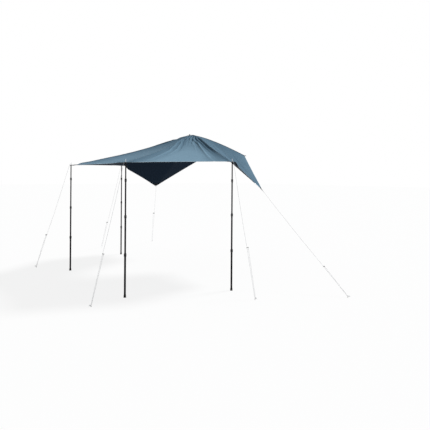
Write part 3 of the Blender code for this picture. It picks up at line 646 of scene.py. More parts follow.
# %% Places of the eyelets, pegs and sliders
POLES = ("front_left", "front_right", "rear_left", "rear_right")
WINGS = ("wing_left", "wing_right")
PEG_OFFSETS = {
    "front_left": (-0.667, -0.424),
    "front_right": (0.077, -0.560),
    "rear_left": (-1.156, 0.061),
    "rear_right": (0.559, -0.048),
    "wing_left": (-1.223, 0.662),
    "wing_right": (1.545, 0.240),
}
SLIDER_SHARES = {
    "front_left": 0.68,
    "front_right": 0.655,
    "rear_left": 0.68,
    "rear_right": 0.645,
    "wing_left": 0.45,
    "wing_right": 0.742,
}


def middle_of(node):
    low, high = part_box(node)
    return (Vector(low) + Vector(high)) / 2


eyelet_at = {name: middle_of(f"{name}_eyelet") for name in POLES + WINGS}
for name, place in eyelet_at.items():
    print(name, [round(x, 4) for x in place])

# %% [markdown]
# The inner edge of the cloth hangs in an arch. It is one formula: the farther from the peak, the
# lower and the farther back. Its two feet give the plane of each wing tip.

# %% The arch and the plane of a wing tip
ARCH_PEAK = Vector((0, 2.05, 2.70))
ARCH_FOOT = Vector((0.67, 3.00, 2.30))
ARCH_LEAN_POWER = 2.0
ARCH_DROP_POWER = 2.2


def mirrored(point, side):
    return Vector((point[0] * side, point[1], point[2]))


def side_of(x):
    """1 on the right and in the middle, -1 on the left."""
    return -1 if x < 0 else 1


def arch_point(u):
    """A point on the arched inner edge, where u is 0 at the peak and 1 or -1 at a foot."""
    lean = abs(u) ** ARCH_LEAN_POWER
    drop = abs(u) ** ARCH_DROP_POWER
    step = ARCH_FOOT - ARCH_PEAK
    return Vector((step.x * u, ARCH_PEAK.y + step.y * lean, ARCH_PEAK.z + step.z * drop))


def wing_normal(side):
    """The upward normal of the cloth at a wing tip."""
    tip = eyelet_at["wing_right"]
    normal = (eyelet_at["rear_right"] - tip).cross(arch_point(1) - tip).normalized()
    return mirrored(normal if normal.z > 0 else -normal, side)


# %% [markdown]
# The guy lines follow the same route as the solids in the frame: a loop round the pin or through
# the wing's eyelet, out over the corner of the cloth, down with a slight sag to the slider, round
# the peg, and back up to a stopper knot above the slider's second hole.

# %% The route of a guy line
SEAT_GAP = 0.0003
LINE_DIAMETER = 0.003
LINE_GAP = 0.0008
LINE_SAG = 0.008
SAG_PLACES = (0.3, 0.6, 0.85)
LINE_END_ABOVE = 0.012
CORNER_MARGIN = 0.024
CORNER_BEND = 0.009
PIN_LOOP_LENGTH = 0.025
WING_LOOP_LENGTH = 0.060
EYELET_BORE_RADIUS = 0.0065
EYELET_FACE = 0.0016
PIN_RADIUS = 0.004
PEG_DIAMETER = 0.007
PEG_LEAN = math.radians(35)
PEG_LOOP_HEIGHT = 0.012
SLIDER_SPACING = 0.026
SLIDER_THICKNESS = 0.007
LINE_SEAT = EYELET_FACE + SEAT_GAP + LINE_DIAMETER / 2


def guy_geometry(name):
    """The directions and key places of the guy line between an eyelet and its peg."""
    centre = eyelet_at[name]
    aside, ahead = PEG_OFFSETS[name]
    ground = Vector((centre.x + aside, centre.y + ahead, 0))
    away = ground - centre
    straight = away.normalized()
    away.z = 0
    away.normalize()
    stem = away * math.sin(PEG_LEAN) + UP * math.cos(PEG_LEAN)
    held = ground + stem * (PEG_LOOP_HEIGHT / math.cos(PEG_LEAN))
    side = away.cross(UP)
    if name in WINGS:
        top = centre + straight * WING_LOOP_LENGTH
    else:
        top = centre + away * (CORNER_MARGIN + CORNER_BEND) + UP * LINE_SEAT
    down = (held - top).normalized()
    bite = PEG_DIAMETER / 2 / abs(stem.dot(down.cross(side))) + SEAT_GAP + LINE_DIAMETER / 2
    loop = max(2 * LINE_DIAMETER, bite)
    run = held + side * loop - top
    down = run.normalized()
    hold = run.length * SLIDER_SHARES[name]
    return {
        "away": away, "stem": stem, "held": held, "side": side, "top": top, "down": down,
        "loop": loop, "slider": top + down * hold,
    }


def loop_route(centre, radius, length, out, across):
    """A loop round a centre, closed by two strands that meet side by side in the direction out."""
    gap = (LINE_DIAMETER + LINE_GAP) / 2
    # the share of the way out, and how far each strand lies aside there
    taper = [(1, gap), (0.68, gap * 1.25), (0.34, radius * 0.83)]
    before = [centre + out * length * x - across * y for x, y in taper]
    after = [centre + out * length * x + across * y for x, y in taper[::-1]]
    turns = [math.pi * (1.5 - i / 4) for i in range(5)]
    loop = [centre + radius * (out * math.cos(a) + across * math.sin(a)) for a in turns]
    return before + loop + after


def pole_start(name, guy):
    """The start at a pole: a loop round the pin, then out over the cloth's corner."""
    radius = max(2 * LINE_DIAMETER, PIN_RADIUS + SEAT_GAP + LINE_DIAMETER / 2)
    level = eyelet_at[name] + UP * LINE_SEAT
    route = loop_route(level, radius, PIN_LOOP_LENGTH, guy["away"], guy["side"])
    for t in (0.33, 0.67, 1):
        flat = guy["top"] - guy["away"] * CORNER_BEND * (1 - t)
        steep = guy["top"] + guy["down"] * CORNER_BEND * t
        route.append(flat.lerp(steep, t))
    return route


def wing_start(name, guy, normal):
    """The start at a wing tip: a loop through the eyelet and round the cloth's corner."""
    down = guy["down"]
    out = (down - normal * down.dot(normal)).normalized()
    radius = 2 * LINE_DIAMETER
    hub = eyelet_at[name] + out * (radius + LINE_DIAMETER / 2 + SEAT_GAP - EYELET_BORE_RADIUS)
    route = loop_route(hub, radius, WING_LOOP_LENGTH * 0.75, out, normal)
    return [*route, guy["top"] + down * CORNER_BEND]


def peg_end(guy):
    """The end: down to the slider, round the peg and back up to the slider's second hole."""
    side, down, held = guy["side"], guy["down"], guy["held"]
    across = down.cross(side).normalized()
    if across.z > 0:
        across.negate()
    run = guy["slider"] - guy["top"]
    route = [guy["top"] + run * t + across * LINE_SAG * 4 * t * (1 - t) for t in SAG_PLACES]
    route.append(guy["slider"])
    for i in range(5):
        angle = math.pi * i / 4
        route.append(held + guy["loop"] * (side * math.cos(angle) + down * math.sin(angle)))
    hole = guy["slider"] - side * SLIDER_SPACING
    for along in (LINE_END_ABOVE, 0, -SLIDER_THICKNESS / 2 - SEAT_GAP):
        route.append(hole + down * along)
    return route


guys = {name: guy_geometry(name) for name in POLES + WINGS}
print("slider heights", {name: round(guy["slider"].z, 2) for name, guy in guys.items()})

# %% [markdown]
# A cord is swept: the route is smoothed, a ring of points is carried along it without twisting,
# and the rings are joined. Its UV map goes round and along in metres, for the braid. The knot is a
# lumpy swelling, an overhand knot pulled tight. Blender's curves could make the tube as well, but
# then the braid would stretch with the spacing of the points.

# %% Smoothing a route
STEP_TURN = math.radians(12)
STEP_LENGTH = 0.08


def eased(start, end, leave, reach, t):
    """On the way from start to end, which it leaves and reaches at the slopes given."""
    return (
        start * (2 * t**3 - 3 * t**2 + 1)
        + end * (3 * t**2 - 2 * t**3)
        + leave * (t**3 - 2 * t**2 + t)
        + reach * (t**3 - t**2)
    )


def smooth_route(points):
    """Points on a smooth curve through a route, closer together where it turns."""
    route = [2 * points[0] - points[1], *points, 2 * points[-1] - points[-2]]
    line = [points[0].copy()]
    for before, start, end, after in zip(route, route[1:], route[2:], route[3:]):
        turn = (start - before).angle(end - start, 0) + (end - start).angle(after - end, 0)
        span = (end - start).length
        steps = max(1, round(turn / STEP_TURN), round(span / STEP_LENGTH))
        leave = (end - before).normalized() * span
        reach = (after - start).normalized() * span
        for step in range(1, steps + 1):
            line.append(eased(start, end, leave, reach, step / steps))
    return line


# %% [markdown]
# A ring is turned as little as can be from one point to the next: its first axis is the last
# ring's, less what points along the line. The ends are closed, so the cord is a solid.

# %% Sweeping a cord
CORD_SIDES = 12
KNOT_LENGTH = 0.008
KNOT_RADIUS = 0.00285
KNOT_STEPS = 10
KNOT_LUMPS = 3
LUMP_HEIGHT = 0.12
KNOT_STEEPNESS = 1.15
CUT_END_SHARE = 0.45


def sweep(name, line, radii, sides, look):
    """A closed tube along a line of points, with a UV map in metres along it."""
    form = bmesh.new()
    metres = form.loops.layers.uv.new("metres")
    across = (line[1] - line[0]).orthogonal().normalized()
    rings = []
    lengths = [0.0]
    for i, spot in enumerate(line):
        ahead = (line[min(i + 1, len(line) - 1)] - line[max(i - 1, 0)]).normalized()
        across = (across - ahead * across.dot(ahead)).normalized()
        other = ahead.cross(across)
        angles = [2 * math.pi * k / sides for k in range(sides)]
        ring = [spot + radii[i] * (across * math.cos(a) + other * math.sin(a)) for a in angles]
        rings.append([form.verts.new(point) for point in ring])
        if i:
            lengths.append(lengths[-1] + (spot - line[i - 1]).length)
    for i in range(len(rings) - 1):
        for k in range(sides):
            turn = (k + 1) % sides
            corners = (rings[i][k], rings[i][turn], rings[i + 1][turn], rings[i + 1][k])
            face = form.faces.new(corners)
            places = ((k, i), (k + 1, i), (k + 1, i + 1), (k, i + 1))
            for loop, (u, v) in zip(face.loops, places):
                loop[metres].uv = (u / sides, lengths[v])
    form.faces.new(rings[0][::-1])
    form.faces.new(rings[-1])
    bmesh.ops.recalc_face_normals(form, faces=form.faces)
    mesh = bpy.data.meshes.new(name)
    form.to_mesh(mesh)
    form.free()
    mesh.materials.append(look)
    mesh.shade_smooth()
    piece = bpy.data.objects.new(name, mesh)
    bpy.context.scene.collection.objects.link(piece)
    return piece, lengths[-1]


def knotted(line, down):
    """The line with its stopper knot added, and the radius at each of its points."""
    end = line[-1]
    radii = [LINE_DIAMETER / 2] * len(line)
    for i in range(1, KNOT_STEPS + 1):
        t = i / KNOT_STEPS
        swell = math.sin(math.pi * min(t * KNOT_STEEPNESS, 1)) ** 0.5
        lumps = 1 + LUMP_HEIGHT * math.sin(2 * KNOT_LUMPS * math.pi * t)
        line.append(end - down * (SEAT_GAP + KNOT_LENGTH * t))
        radii.append(max(LINE_DIAMETER * CUT_END_SHARE, KNOT_RADIUS * (swell * lumps)))
    return line, radii


# %% [markdown]
# Rigid pieces are modelled with Blender's own tools, as by hand. A few helpers keep those steps
# short: they pick parts of a mesh by their place, turn a profile by extruding and scaling a
# circle, round the sharp edges, and cut one shape out of another.

# %% Helpers for modelling
ROUND_STEPS = 48
AXIS = 0.0001
SMOOTH_ANGLE = math.radians(35)
FINE_EDGE = {"width": 0.0001, "angle": 60, "segments": 1}


def new_model(name):
    """The primitive that was just added, under its name."""
    model = bpy.context.object
    model.name = name
    return model


def pick(model, test, kind="FACE"):
    """In edit mode, select the faces or vertices that pass a test, and nothing else."""
    bpy.ops.mesh.select_mode(type=kind)
    bpy.ops.mesh.select_all(action="DESELECT")
    form = bmesh.from_edit_mesh(model.data)
    for part in {"FACE": form.faces, "VERT": form.verts}[kind]:
        if test(part):
            part.select_set(True)
    form.select_flush_mode()
    bmesh.update_edit_mesh(model.data)


def lathe(name, profile, look, steps=ROUND_STEPS):
    """A turned model: a circle, extruded and scaled from ring to ring of (radius, height).

    A profile that comes back to its start makes a ring, any other one a solid with closed ends.
    Such an end is a tiny ring of radius AXIS, because a ring of none could not be scaled up.
    """
    bpy.ops.object.select_all(action="DESELECT")
    radius, height = profile[0]
    fill = "NOTHING" if profile[0] == profile[-1] else "NGON"
    bpy.ops.mesh.primitive_circle_add(
        vertices=steps, radius=radius, fill_type=fill, location=(0, 0, height)
    )
    model = new_model(name)
    bpy.ops.object.mode_set(mode="EDIT")
    for wide, high in profile[1:]:
        bpy.ops.mesh.extrude_region_move(TRANSFORM_OT_translate={"value": (0, 0, high - height)})
        share = wide / radius
        bpy.ops.transform.resize(value=(share, share, 1), center_override=(0, 0, high))
        radius, height = wide, high
    bpy.ops.mesh.select_all(action="SELECT")
    bpy.ops.mesh.remove_doubles(threshold=0.000005)
    bpy.ops.mesh.normals_make_consistent(inside=False)
    bpy.ops.object.mode_set(mode="OBJECT")
    bpy.ops.object.transform_apply(location=True)
    model.data.materials.append(look)
    return model


def soften(model, width, angle=30, segments=2):
    """Round a model's sharp edges and shade it."""
    bpy.ops.object.select_all(action="DESELECT")
    model.select_set(True)
    bpy.context.view_layer.objects.active = model
    bevel = model.modifiers.new("soft_edges", "BEVEL")
    bevel.width = width
    bevel.segments = segments
    bevel.angle_limit = math.radians(angle)
    bpy.ops.object.modifier_apply(modifier=bevel.name)
    bpy.ops.object.shade_smooth_by_angle(angle=SMOOTH_ANGLE)
    print(model.name, len(model.data.polygons), "faces")


def cut(model, cutter):
    """Take a cutter's shape out of a model, and the cutter away."""
    step = model.modifiers.new("cut", "BOOLEAN")
    step.operation = "DIFFERENCE"
    step.object = cutter
    bpy.ops.object.select_all(action="DESELECT")
    bpy.context.view_layer.objects.active = model
    bpy.ops.object.modifier_apply(modifier=step.name)
    bpy.data.objects.remove(cutter)


# %% [markdown]
# What repeats is modelled once, at the middle of its own frame, and then copied. The place of each
# copy goes into its mesh, so that every object itself stays at the origin.

# %% Helpers for setting down


def set_down(model, name, matrix, body, node):
    """A copy of a model with its place in its mesh, on its body, instead of its CAD node."""
    piece = bpy.data.objects.new(name, model.data.copy())
    bpy.context.scene.collection.objects.link(piece)
    piece.data.transform(matrix)
    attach(piece, body)
    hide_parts(node)
    return piece


def put_away(*models):
    """Remove the first models once their copies stand in their places."""
    for model in models:
        bpy.data.objects.remove(model)


def frame_matrix(origin, x, y, z):
    """The matrix of a frame with its origin and its three unit axes."""
    turn = Matrix((x, y, z)).transposed().to_4x4()
    return Matrix.Translation(origin) @ turn


# %% [markdown]
# A line slider is a small moulded bar with round ends and a hole for each strand. A cylinder gives
# both ends: its halves are pulled apart. The waist and the holes are cut, and the holes get a
# mouth, because a sharp edge would fray the line. Tilted under load, the bar grips the line.

# %% Line sliders
SLIDER_END_RADIUS = 0.0075
SLIDER_HOLE_RADIUS = 0.0024
MOUTH_WIDTH = 0.0008
MOUTH_DEPTH = 0.0009
WAIST_DEPTH = 0.0012
WAIST_RADIUS = 0.018
CUTTER_RISE = 0.001
half = SLIDER_SPACING / 2

bpy.ops.object.select_all(action="DESELECT")
bpy.ops.mesh.primitive_cylinder_add(
    vertices=ROUND_STEPS, radius=SLIDER_END_RADIUS, depth=SLIDER_THICKNESS
)
bar = new_model("slider_model")
bpy.ops.object.mode_set(mode="EDIT")
for side in (-1, 1):
    pick(bar, lambda vert: vert.co.x * side > 0.0001, "VERT")
    bpy.ops.transform.translate(value=(side * half, 0, 0))
bpy.ops.object.mode_set(mode="OBJECT")
away = SLIDER_END_RADIUS + WAIST_RADIUS - WAIST_DEPTH
for side in (-1, 1):
    bpy.ops.mesh.primitive_cylinder_add(
        vertices=64, radius=WAIST_RADIUS, depth=0.02, location=(0, side * away, 0)
    )
    cut(bar, bpy.context.object)
face = SLIDER_THICKNESS / 2
mouth = SLIDER_HOLE_RADIUS + MOUTH_WIDTH
below_middle = [
    (AXIS, -face - CUTTER_RISE), (mouth + CUTTER_RISE, -face - CUTTER_RISE), (mouth, -face),
    (SLIDER_HOLE_RADIUS, -face + MOUTH_DEPTH),
]
above_middle = [(radius, -height) for radius, height in below_middle[::-1]]
for side in (-1, 1):
    hole = lathe("hole", below_middle + above_middle, slider_nylon, 24)
    hole.location.x = side * half
    cut(bar, hole)
bar.data.materials.clear()
bar.data.materials.append(slider_nylon)
soften(bar, 0.0005, 40)
for name, guy in guys.items():
    across = guy["down"].cross(guy["side"]).normalized()
    centre = guy["slider"] - guy["side"] * half
    set_down(
        bar, f"{name}_moulded_slider", frame_matrix(centre, guy["side"], across, guy["down"]),
        f"{name}_slider", f"{name}_line_slider",
    )
put_away(bar)

# %% [markdown]
# Now the guy lines. Each is swept as a cord and rides on the awning's body: the slider rides on
# its own body, and the knot at the end is part of the cord.

# %% Guy lines
for name, guy in guys.items():
    if name in WINGS:
        start = wing_start(name, guy, wing_normal(side_of(eyelet_at[name].x)))
    else:
        start = pole_start(name, guy)
    line, radii = knotted(smooth_route(start + peg_end(guy)), guy["down"])
    cord, length = sweep(f"{name}_braided_line", line, radii, CORD_SIDES, braid)
    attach(cord, "awning")
    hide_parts(f"{name}_guy_line")
    print(name, "line", round(length, 3), "m")

# %% [markdown]
# A peg is a steel rod: a point, a straight stem and a hook that keeps the line from slipping off.
# As on the bender that makes it, a ring of points is drawn along the stem and then spun round the
# hook's centre. One model serves for all six, turned so that each leans away from the canopy.

# %% Pegs
PEG_LENGTH = 0.170
PEG_POINT_LENGTH = 0.020
PEG_POINT_SHARE = 0.25
PEG_NECK = 0.020
PEG_HOOK_RADIUS = 0.009
PEG_HOOK_TURN = math.radians(200)
PEG_HOOK_STEPS = 20
PEG_SIDES = 20

bpy.ops.mesh.primitive_circle_add(
    vertices=PEG_SIDES, radius=PEG_DIAMETER / 2 * PEG_POINT_SHARE, fill_type="NGON",
    location=(0, 0, -PEG_LENGTH),
)
peg = new_model("peg_model")
bpy.ops.object.mode_set(mode="EDIT")
heights = [-PEG_LENGTH, -PEG_LENGTH + PEG_POINT_LENGTH, -PEG_LENGTH * 0.5, PEG_NECK]
for i, (low, high) in enumerate(zip(heights, heights[1:])):
    bpy.ops.mesh.extrude_region_move(TRANSFORM_OT_translate={"value": (0, 0, high - low)})
    if i == 0:
        widen = 1 / PEG_POINT_SHARE
        bpy.ops.transform.resize(value=(widen, widen, 1), center_override=(0, 0, high))
bpy.ops.mesh.spin(
    steps=PEG_HOOK_STEPS, angle=PEG_HOOK_TURN, center=(PEG_HOOK_RADIUS, 0, PEG_NECK), axis=(0, -1, 0)
)
bpy.ops.mesh.select_all(action="SELECT")
bpy.ops.mesh.remove_doubles(threshold=0.00001)
bpy.ops.mesh.normals_make_consistent(inside=False)
bpy.ops.object.mode_set(mode="OBJECT")
bpy.ops.object.transform_apply(location=True)
peg.data.materials.append(zinc)
soften(peg, 0.0007, 50, 3)
print("peg reaches", [round(max(v.co[k] for v in peg.data.vertices), 4) for k in range(3)])
for name, guy in guys.items():
    out = guy["away"] * math.cos(PEG_LEAN) - UP * math.sin(PEG_LEAN)
    matrix = frame_matrix(guy["held"], out, guy["stem"].cross(out), guy["stem"])
    set_down(peg, f"{name}_bent_peg", matrix, "awning", f"{name}_peg")
put_away(peg)

# %% [markdown]
# An eyelet is two pressed rings clamped on the cloth, the same above and below. Turned in one go,
# its profile runs up the bore, over the rolled rim, round the flange and in to the barrel, where
# the cloth is, and then back down in the same steps.

# %% Eyelets
FLANGE_RADIUS = 0.013
FLANGE_UNDER = 0.0008
BARREL_RADIUS = 0.0075
rim = EYELET_FACE
upper = [
    (EYELET_BORE_RADIUS, rim - 0.0005), (EYELET_BORE_RADIUS + 0.0002, rim - 0.0002),
    (EYELET_BORE_RADIUS + 0.0007, rim), (EYELET_BORE_RADIUS + 0.0018, rim - 0.0001),
    (EYELET_BORE_RADIUS + 0.0026, rim - 0.0004), (FLANGE_RADIUS - 0.0016, rim - 0.0004),
    (FLANGE_RADIUS - 0.0008, rim - 0.0002), (FLANGE_RADIUS - 0.0002, rim - 0.0004),
    (FLANGE_RADIUS, FLANGE_UNDER + 0.0001), (FLANGE_RADIUS - 0.0003, FLANGE_UNDER),
    (BARREL_RADIUS, FLANGE_UNDER),
]
lower = [(radius, -height) for radius, height in upper[::-1]]
eyelet = lathe("eyelet_model", upper + lower + upper[:1], plated)
soften(eyelet, **FINE_EDGE)
for name, place in eyelet_at.items():
    normal = wing_normal(side_of(place.x)) if name in WINGS else UP
    matrix = Matrix.Translation(place) @ UP.rotation_difference(normal).to_matrix().to_4x4()
    set_down(eyelet, f"{name}_pressed_eyelet", matrix, "awning", f"{name}_eyelet")
put_away(eyelet)

# %% [markdown]
# Each pole is four aluminium tubes that slide in each other. The lower end of every inner tube is
# swollen a little, which keeps it centred. The sizes come from the frame's boxes: a tube's box
# gives its radius and both of its ends, so the tubes can't drift from the model.

# %% Tubes
TUBE_WALL = 0.0013
TUBE_CHAMFER = 0.0003
SWAGE_LENGTH = 0.012
SWAGE_RISE = 0.0002
SECTIONS = ("lower", "middle", "upper")


def centre_line(node):
    """The point on the ground below a round upright piece."""
    centre = middle_of(node)
    return Vector((centre.x, centre.y, 0))


def round_sizes(node):
    """Radius, bottom and top of a round upright piece, from its box."""
    low, high = (Vector(corner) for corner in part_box(node))
    return (high.x - low.x) / 2, low.z, high.z


def set_on_poles(model, name, body, node):
    """A copy of a model on each pole, on the centre line of the node that it replaces."""
    for pole in POLES:
        place = Matrix.Translation(centre_line(f"{pole}_{node}"))
        set_down(model, f"{pole}_{name}", place, f"{pole}_{body}", f"{pole}_{node}")
    put_away(model)


tube_radii = {}
for section in SECTIONS:
    radius, bottom, top = round_sizes(f"front_left_{section}_tube")
    if section != "lower":
        radius -= SWAGE_RISE
    tube_radii[section] = radius
    inner = radius - TUBE_WALL
    chamfer = TUBE_CHAMFER
    profile = [
        (inner + chamfer, bottom), (radius, bottom + chamfer), (radius, top - chamfer),
        (radius - chamfer, top), (inner + chamfer, top), (inner, top - chamfer),
        (inner, bottom + chamfer), (inner + chamfer, bottom),
    ]
    if section != "lower":
        swollen = radius + SWAGE_RISE
        profile[1:2] = [
            (swollen, bottom + chamfer), (swollen, bottom + SWAGE_LENGTH - 4 * SWAGE_RISE),
            (radius, bottom + SWAGE_LENGTH),
        ]
    tube = lathe(f"{section}_tube_model", profile, black_tube)
    soften(tube, **FINE_EDGE)
    set_on_poles(
        tube, f"{section}_anodised_tube", f"{section}_section", f"{section}_tube"
    )

# %% [markdown]
# The top tube ends in a domed plug that fills the eyelet from below, and in the plug sits a steel
# pin that stands up through the eyelet and the line's loop. Plug and tube are told apart by a
# fine groove. The front and rear poles differ in height, so the model is made at height zero, at
# the centre of its dome, and lifted to each pole's dome.

# %% Top tubes and pins
PIN_HEIGHT = 0.048
PIN_ROOT = 0.002
PIN_STEP = 0.010
PLUG_DEPTH = 0.02
PLUG_SHOULDER = 0.004
GROOVE_DEPTH = 0.0003
TUBE_CLEARANCE = 0.00045
DOME_STEPS = 9
top_radius = tube_radii["upper"] - TUBE_WALL - TUBE_CLEARANCE
seated = math.sqrt((top_radius + SEAT_GAP) ** 2 - EYELET_BORE_RADIUS**2)
dome_drop = EYELET_FACE + seated
end = eyelet_at["front_left"].z - dome_drop - round_sizes("front_left_top_tube")[1]
print("top tube", round(top_radius, 5), round(end, 4))

inner = top_radius - TUBE_WALL
swollen = top_radius + SWAGE_RISE
shell = lathe(
    "top_tube_model",
    [
        (inner, -end), (swollen, -end), (swollen, -end + SWAGE_LENGTH - 4 * SWAGE_RISE),
        (top_radius, -end + SWAGE_LENGTH), (top_radius, -PLUG_SHOULDER),
        (inner, -PLUG_SHOULDER), (inner, -end),
    ],
    black_tube,
)
soften(shell, **FINE_EDGE)
pin_angle = math.asin(PIN_RADIUS / top_radius)
angles = [math.pi / 2 + (pin_angle - math.pi / 2) * i / DOME_STEPS for i in range(DOME_STEPS + 1)]
dome = [(top_radius * math.sin(a), top_radius * math.cos(a)) for a in angles]
dome_end = dome[-1][1] - 0.001
plug = lathe(
    "plug_model",
    [
        (AXIS, -PLUG_DEPTH), (inner - 0.0001, -PLUG_DEPTH),
        (inner - 0.0001, -PLUG_SHOULDER + GROOVE_DEPTH),
        (top_radius - GROOVE_DEPTH, -PLUG_SHOULDER + GROOVE_DEPTH),
        (top_radius, -PLUG_SHOULDER + 2 * GROOVE_DEPTH), *dome, (PIN_RADIUS, dome_end),
        (AXIS, dome_end),
    ],
    lock_nylon,
)
soften(plug, **FINE_EDGE)
pin_top = dome_drop + PIN_HEIGHT
step = dome_drop + PIN_STEP
pin = lathe(
    "pin_model",
    [
        (AXIS, PIN_ROOT), (PIN_RADIUS - 0.0001, PIN_ROOT), (PIN_RADIUS - 0.0001, step),
        (PIN_RADIUS, step + 0.0002), (PIN_RADIUS, pin_top - 0.0030),
        (PIN_RADIUS * 0.93, pin_top - 0.0018), (PIN_RADIUS * 0.78, pin_top - 0.0008),
        (PIN_RADIUS * 0.5, pin_top - 0.0002), (AXIS, pin_top),
    ],
    pin_steel, 32,
)
soften(pin, **FINE_EDGE)
for pole in POLES:
    place = centre_line(f"{pole}_top_tube") + UP * (eyelet_at[pole].z - dome_drop)
    for model, word in ((shell, "top_anodised_tube"), (plug, "domed_plug"), (pin, "steel_pin")):
        set_down(
            model, f"{pole}_{word}", Matrix.Translation(place), f"{pole}_top_section",
            f"{pole}_top_tube",
        )
put_away(shell, plug, pin)

# %% [markdown]
# A twist lock is the ring that the hand turns to clamp one tube in the next. It is turned first,
# with its fine line between collar and grip, and then fluted: eight round cutters, standing in a
# circle, are joined and taken out of it in one cut.

# %% Twist locks
FLUTES = 8
FLUTE_DEPTH = 0.0011
FLUTE_RADIUS = 0.0042
LOCK_NECK = 0.008
LOCK_COLLAR = 0.005
LOCK_LIP_WALL = 0.003
TWIST_GAP = 0.0003
tube_tops = {section: round_sizes(f"front_left_{section}_tube")[2] for section in SECTIONS}
held_radii = {"lower": tube_radii["middle"], "middle": tube_radii["upper"], "upper": top_radius}


def grip_cutter(name, radius, bottom, top):
    """The joined cutters for the flutes round a grip of this radius."""
    bpy.ops.object.select_all(action="DESELECT")
    posts = []
    for i in range(FLUTES):
        angle = 2 * math.pi * (i + 0.5) / FLUTES
        reach = radius + FLUTE_RADIUS - FLUTE_DEPTH
        bpy.ops.mesh.primitive_cylinder_add(
            vertices=28, radius=FLUTE_RADIUS, depth=top - bottom,
            location=(reach * math.cos(angle), reach * math.sin(angle), (top + bottom) / 2),
        )
        posts.append(new_model(name))
    for post in posts:
        post.select_set(True)
    bpy.ops.object.join()
    bpy.ops.object.transform_apply(location=True)
    return bpy.context.object


for section in SECTIONS:
    grip, bottom, top = round_sizes(f"front_left_{section}_lock")
    outer = tube_radii[section] + TWIST_GAP
    inner = held_radii[section] + TWIST_GAP
    lip = inner + LOCK_LIP_WALL
    ledge = tube_tops[section] + TWIST_GAP
    shoulder = top - LOCK_NECK
    line = shoulder - LOCK_COLLAR
    lock = lathe(
        f"{section}_lock_model",
        [
            (outer, bottom), (grip - 0.0020, bottom), (grip - 0.0007, bottom + 0.0006),
            (grip, bottom + 0.0020), (grip, line - 0.0006), (grip - 0.0006, line - 0.0003),
            (grip - 0.0006, line + 0.0003), (grip, line + 0.0006), (grip, shoulder - 0.0010),
            (grip - 0.0006, shoulder), (lip + 0.0006, top - 0.0010), (lip - 0.0004, top),
            (inner + 0.0002, top), (inner, top - 0.0003), (inner, ledge), (outer, ledge),
            (outer, bottom),
        ],
        lock_nylon, 64,
    )
    cut(lock, grip_cutter("flute_cutter", grip, bottom + 0.0030, line - 0.0022))
    soften(lock, 0.00035, 40)
    set_on_poles(
        lock, f"{section}_grip_ring", f"{section}_twist_ring", f"{section}_lock"
    )

# %% [markdown]
# The foot is a moulded rubber cap. Three fine ribs help the hand to pull it off, the rim spreads
# the load, and the sole has a cross cut in it for grip.

# %% Feet
FOOT_FLOOR = 0.006
FOOT_RIM_WIDTH = 0.002
FOOT_RIM_HEIGHT = 0.009
FOOT_RIB = 0.0005
RIB_HEIGHTS = (0.018, 0.0235, 0.029)
SOLE_CUT = 0.0028
rim, _, top = round_sizes("front_left_foot")
bore = tube_radii["lower"] + TWIST_GAP
wall = rim - FOOT_RIM_WIDTH
ribs = []
for height in RIB_HEIGHTS:
    ribs += [
        (wall - FOOT_RIB, height - 0.0012), (wall, height - 0.0007), (wall, height + 0.0007),
        (wall - FOOT_RIB, height + 0.0012),
    ]
foot = lathe(
    "foot_model",
    [
        (AXIS, FOOT_FLOOR), (bore, FOOT_FLOOR), (bore, top - 0.0004), (bore + 0.0004, top),
        (wall - 0.0012, top), (wall - 0.0003, top - 0.0004), (wall - FOOT_RIB, top - 0.0015),
        *ribs[::-1], (wall - FOOT_RIB, FOOT_RIM_HEIGHT + FOOT_RIM_WIDTH),
        (rim - 0.0006, FOOT_RIM_HEIGHT + 0.0004), (rim, FOOT_RIM_HEIGHT - 0.0006),
        (rim, 0.0012), (rim - 0.0012, 0), (AXIS, 0),
    ],
    foot_rubber,
)
for width, depth in ((SOLE_CUT, 0.05), (0.05, SOLE_CUT)):
    bpy.ops.mesh.primitive_cube_add(size=1, scale=(width, depth, 0.003), location=(0, 0, 0))
    cut(foot, bpy.context.object)
soften(foot, 0.0002, 45)
set_on_poles(foot, "moulded_foot", "lower_section", "foot")

# %% [markdown]
# The canopy is one sheet. It is stretched from the gathered arch to the corners, so it could be
# simulated, but a stretched cloth has little to settle: its shape is given by the straight pulls
# between its fittings. So it is worked out instead. Each column of the cloth starts on the arch
# and ends on the outline, and the marks say where on each edge the columns end. Columns 4, 14 and
# 19 run to the right-hand eyelets, and the negative columns are their mirror image.

# %% Columns of the cloth
GATHER_WIDTH = 0.33
CORNER_FLAT = 0.055
ARCH_FOOT_LENGTH = 0.075
FAN_COLUMNS = 14
LAST_COLUMN = 23
WING_TIP_U = 0.62
FRONT_MARKS = (0.5, 0.66, 0.83, None, 1.0)
SIDE_MARKS = (0.0, None, 0.12, 0.23, 0.35, 0.47, 0.59, 0.72, 0.86, None, 1.0)
WING_MARKS = (0.0, None, 0.35, 0.65, None, 1.0)
REAR_MARKS = (0.0, None, 0.33, 0.66, 1.0)


def gather_u(column):
    return GATHER_WIDTH / 2 / ARCH_FOOT.x * column / FAN_COLUMNS


def corner(eyelet, u, flat):
    """The corner of the cloth outside an eyelet, in line with the start of its column."""
    out = eyelet - arch_point(u)
    if flat:
        out.z = 0
    return eyelet + CORNER_MARGIN * out.normalized()


def shares(marks, length):
    """The marks as shares of an edge, where None lies one flat patch from the nearer corner."""
    near = CORNER_FLAT / length
    found = []
    for i, mark in enumerate(marks):
        missing = near if i < len(marks) / 2 else 1 - near
        found.append(missing if mark is None else mark)
    return found


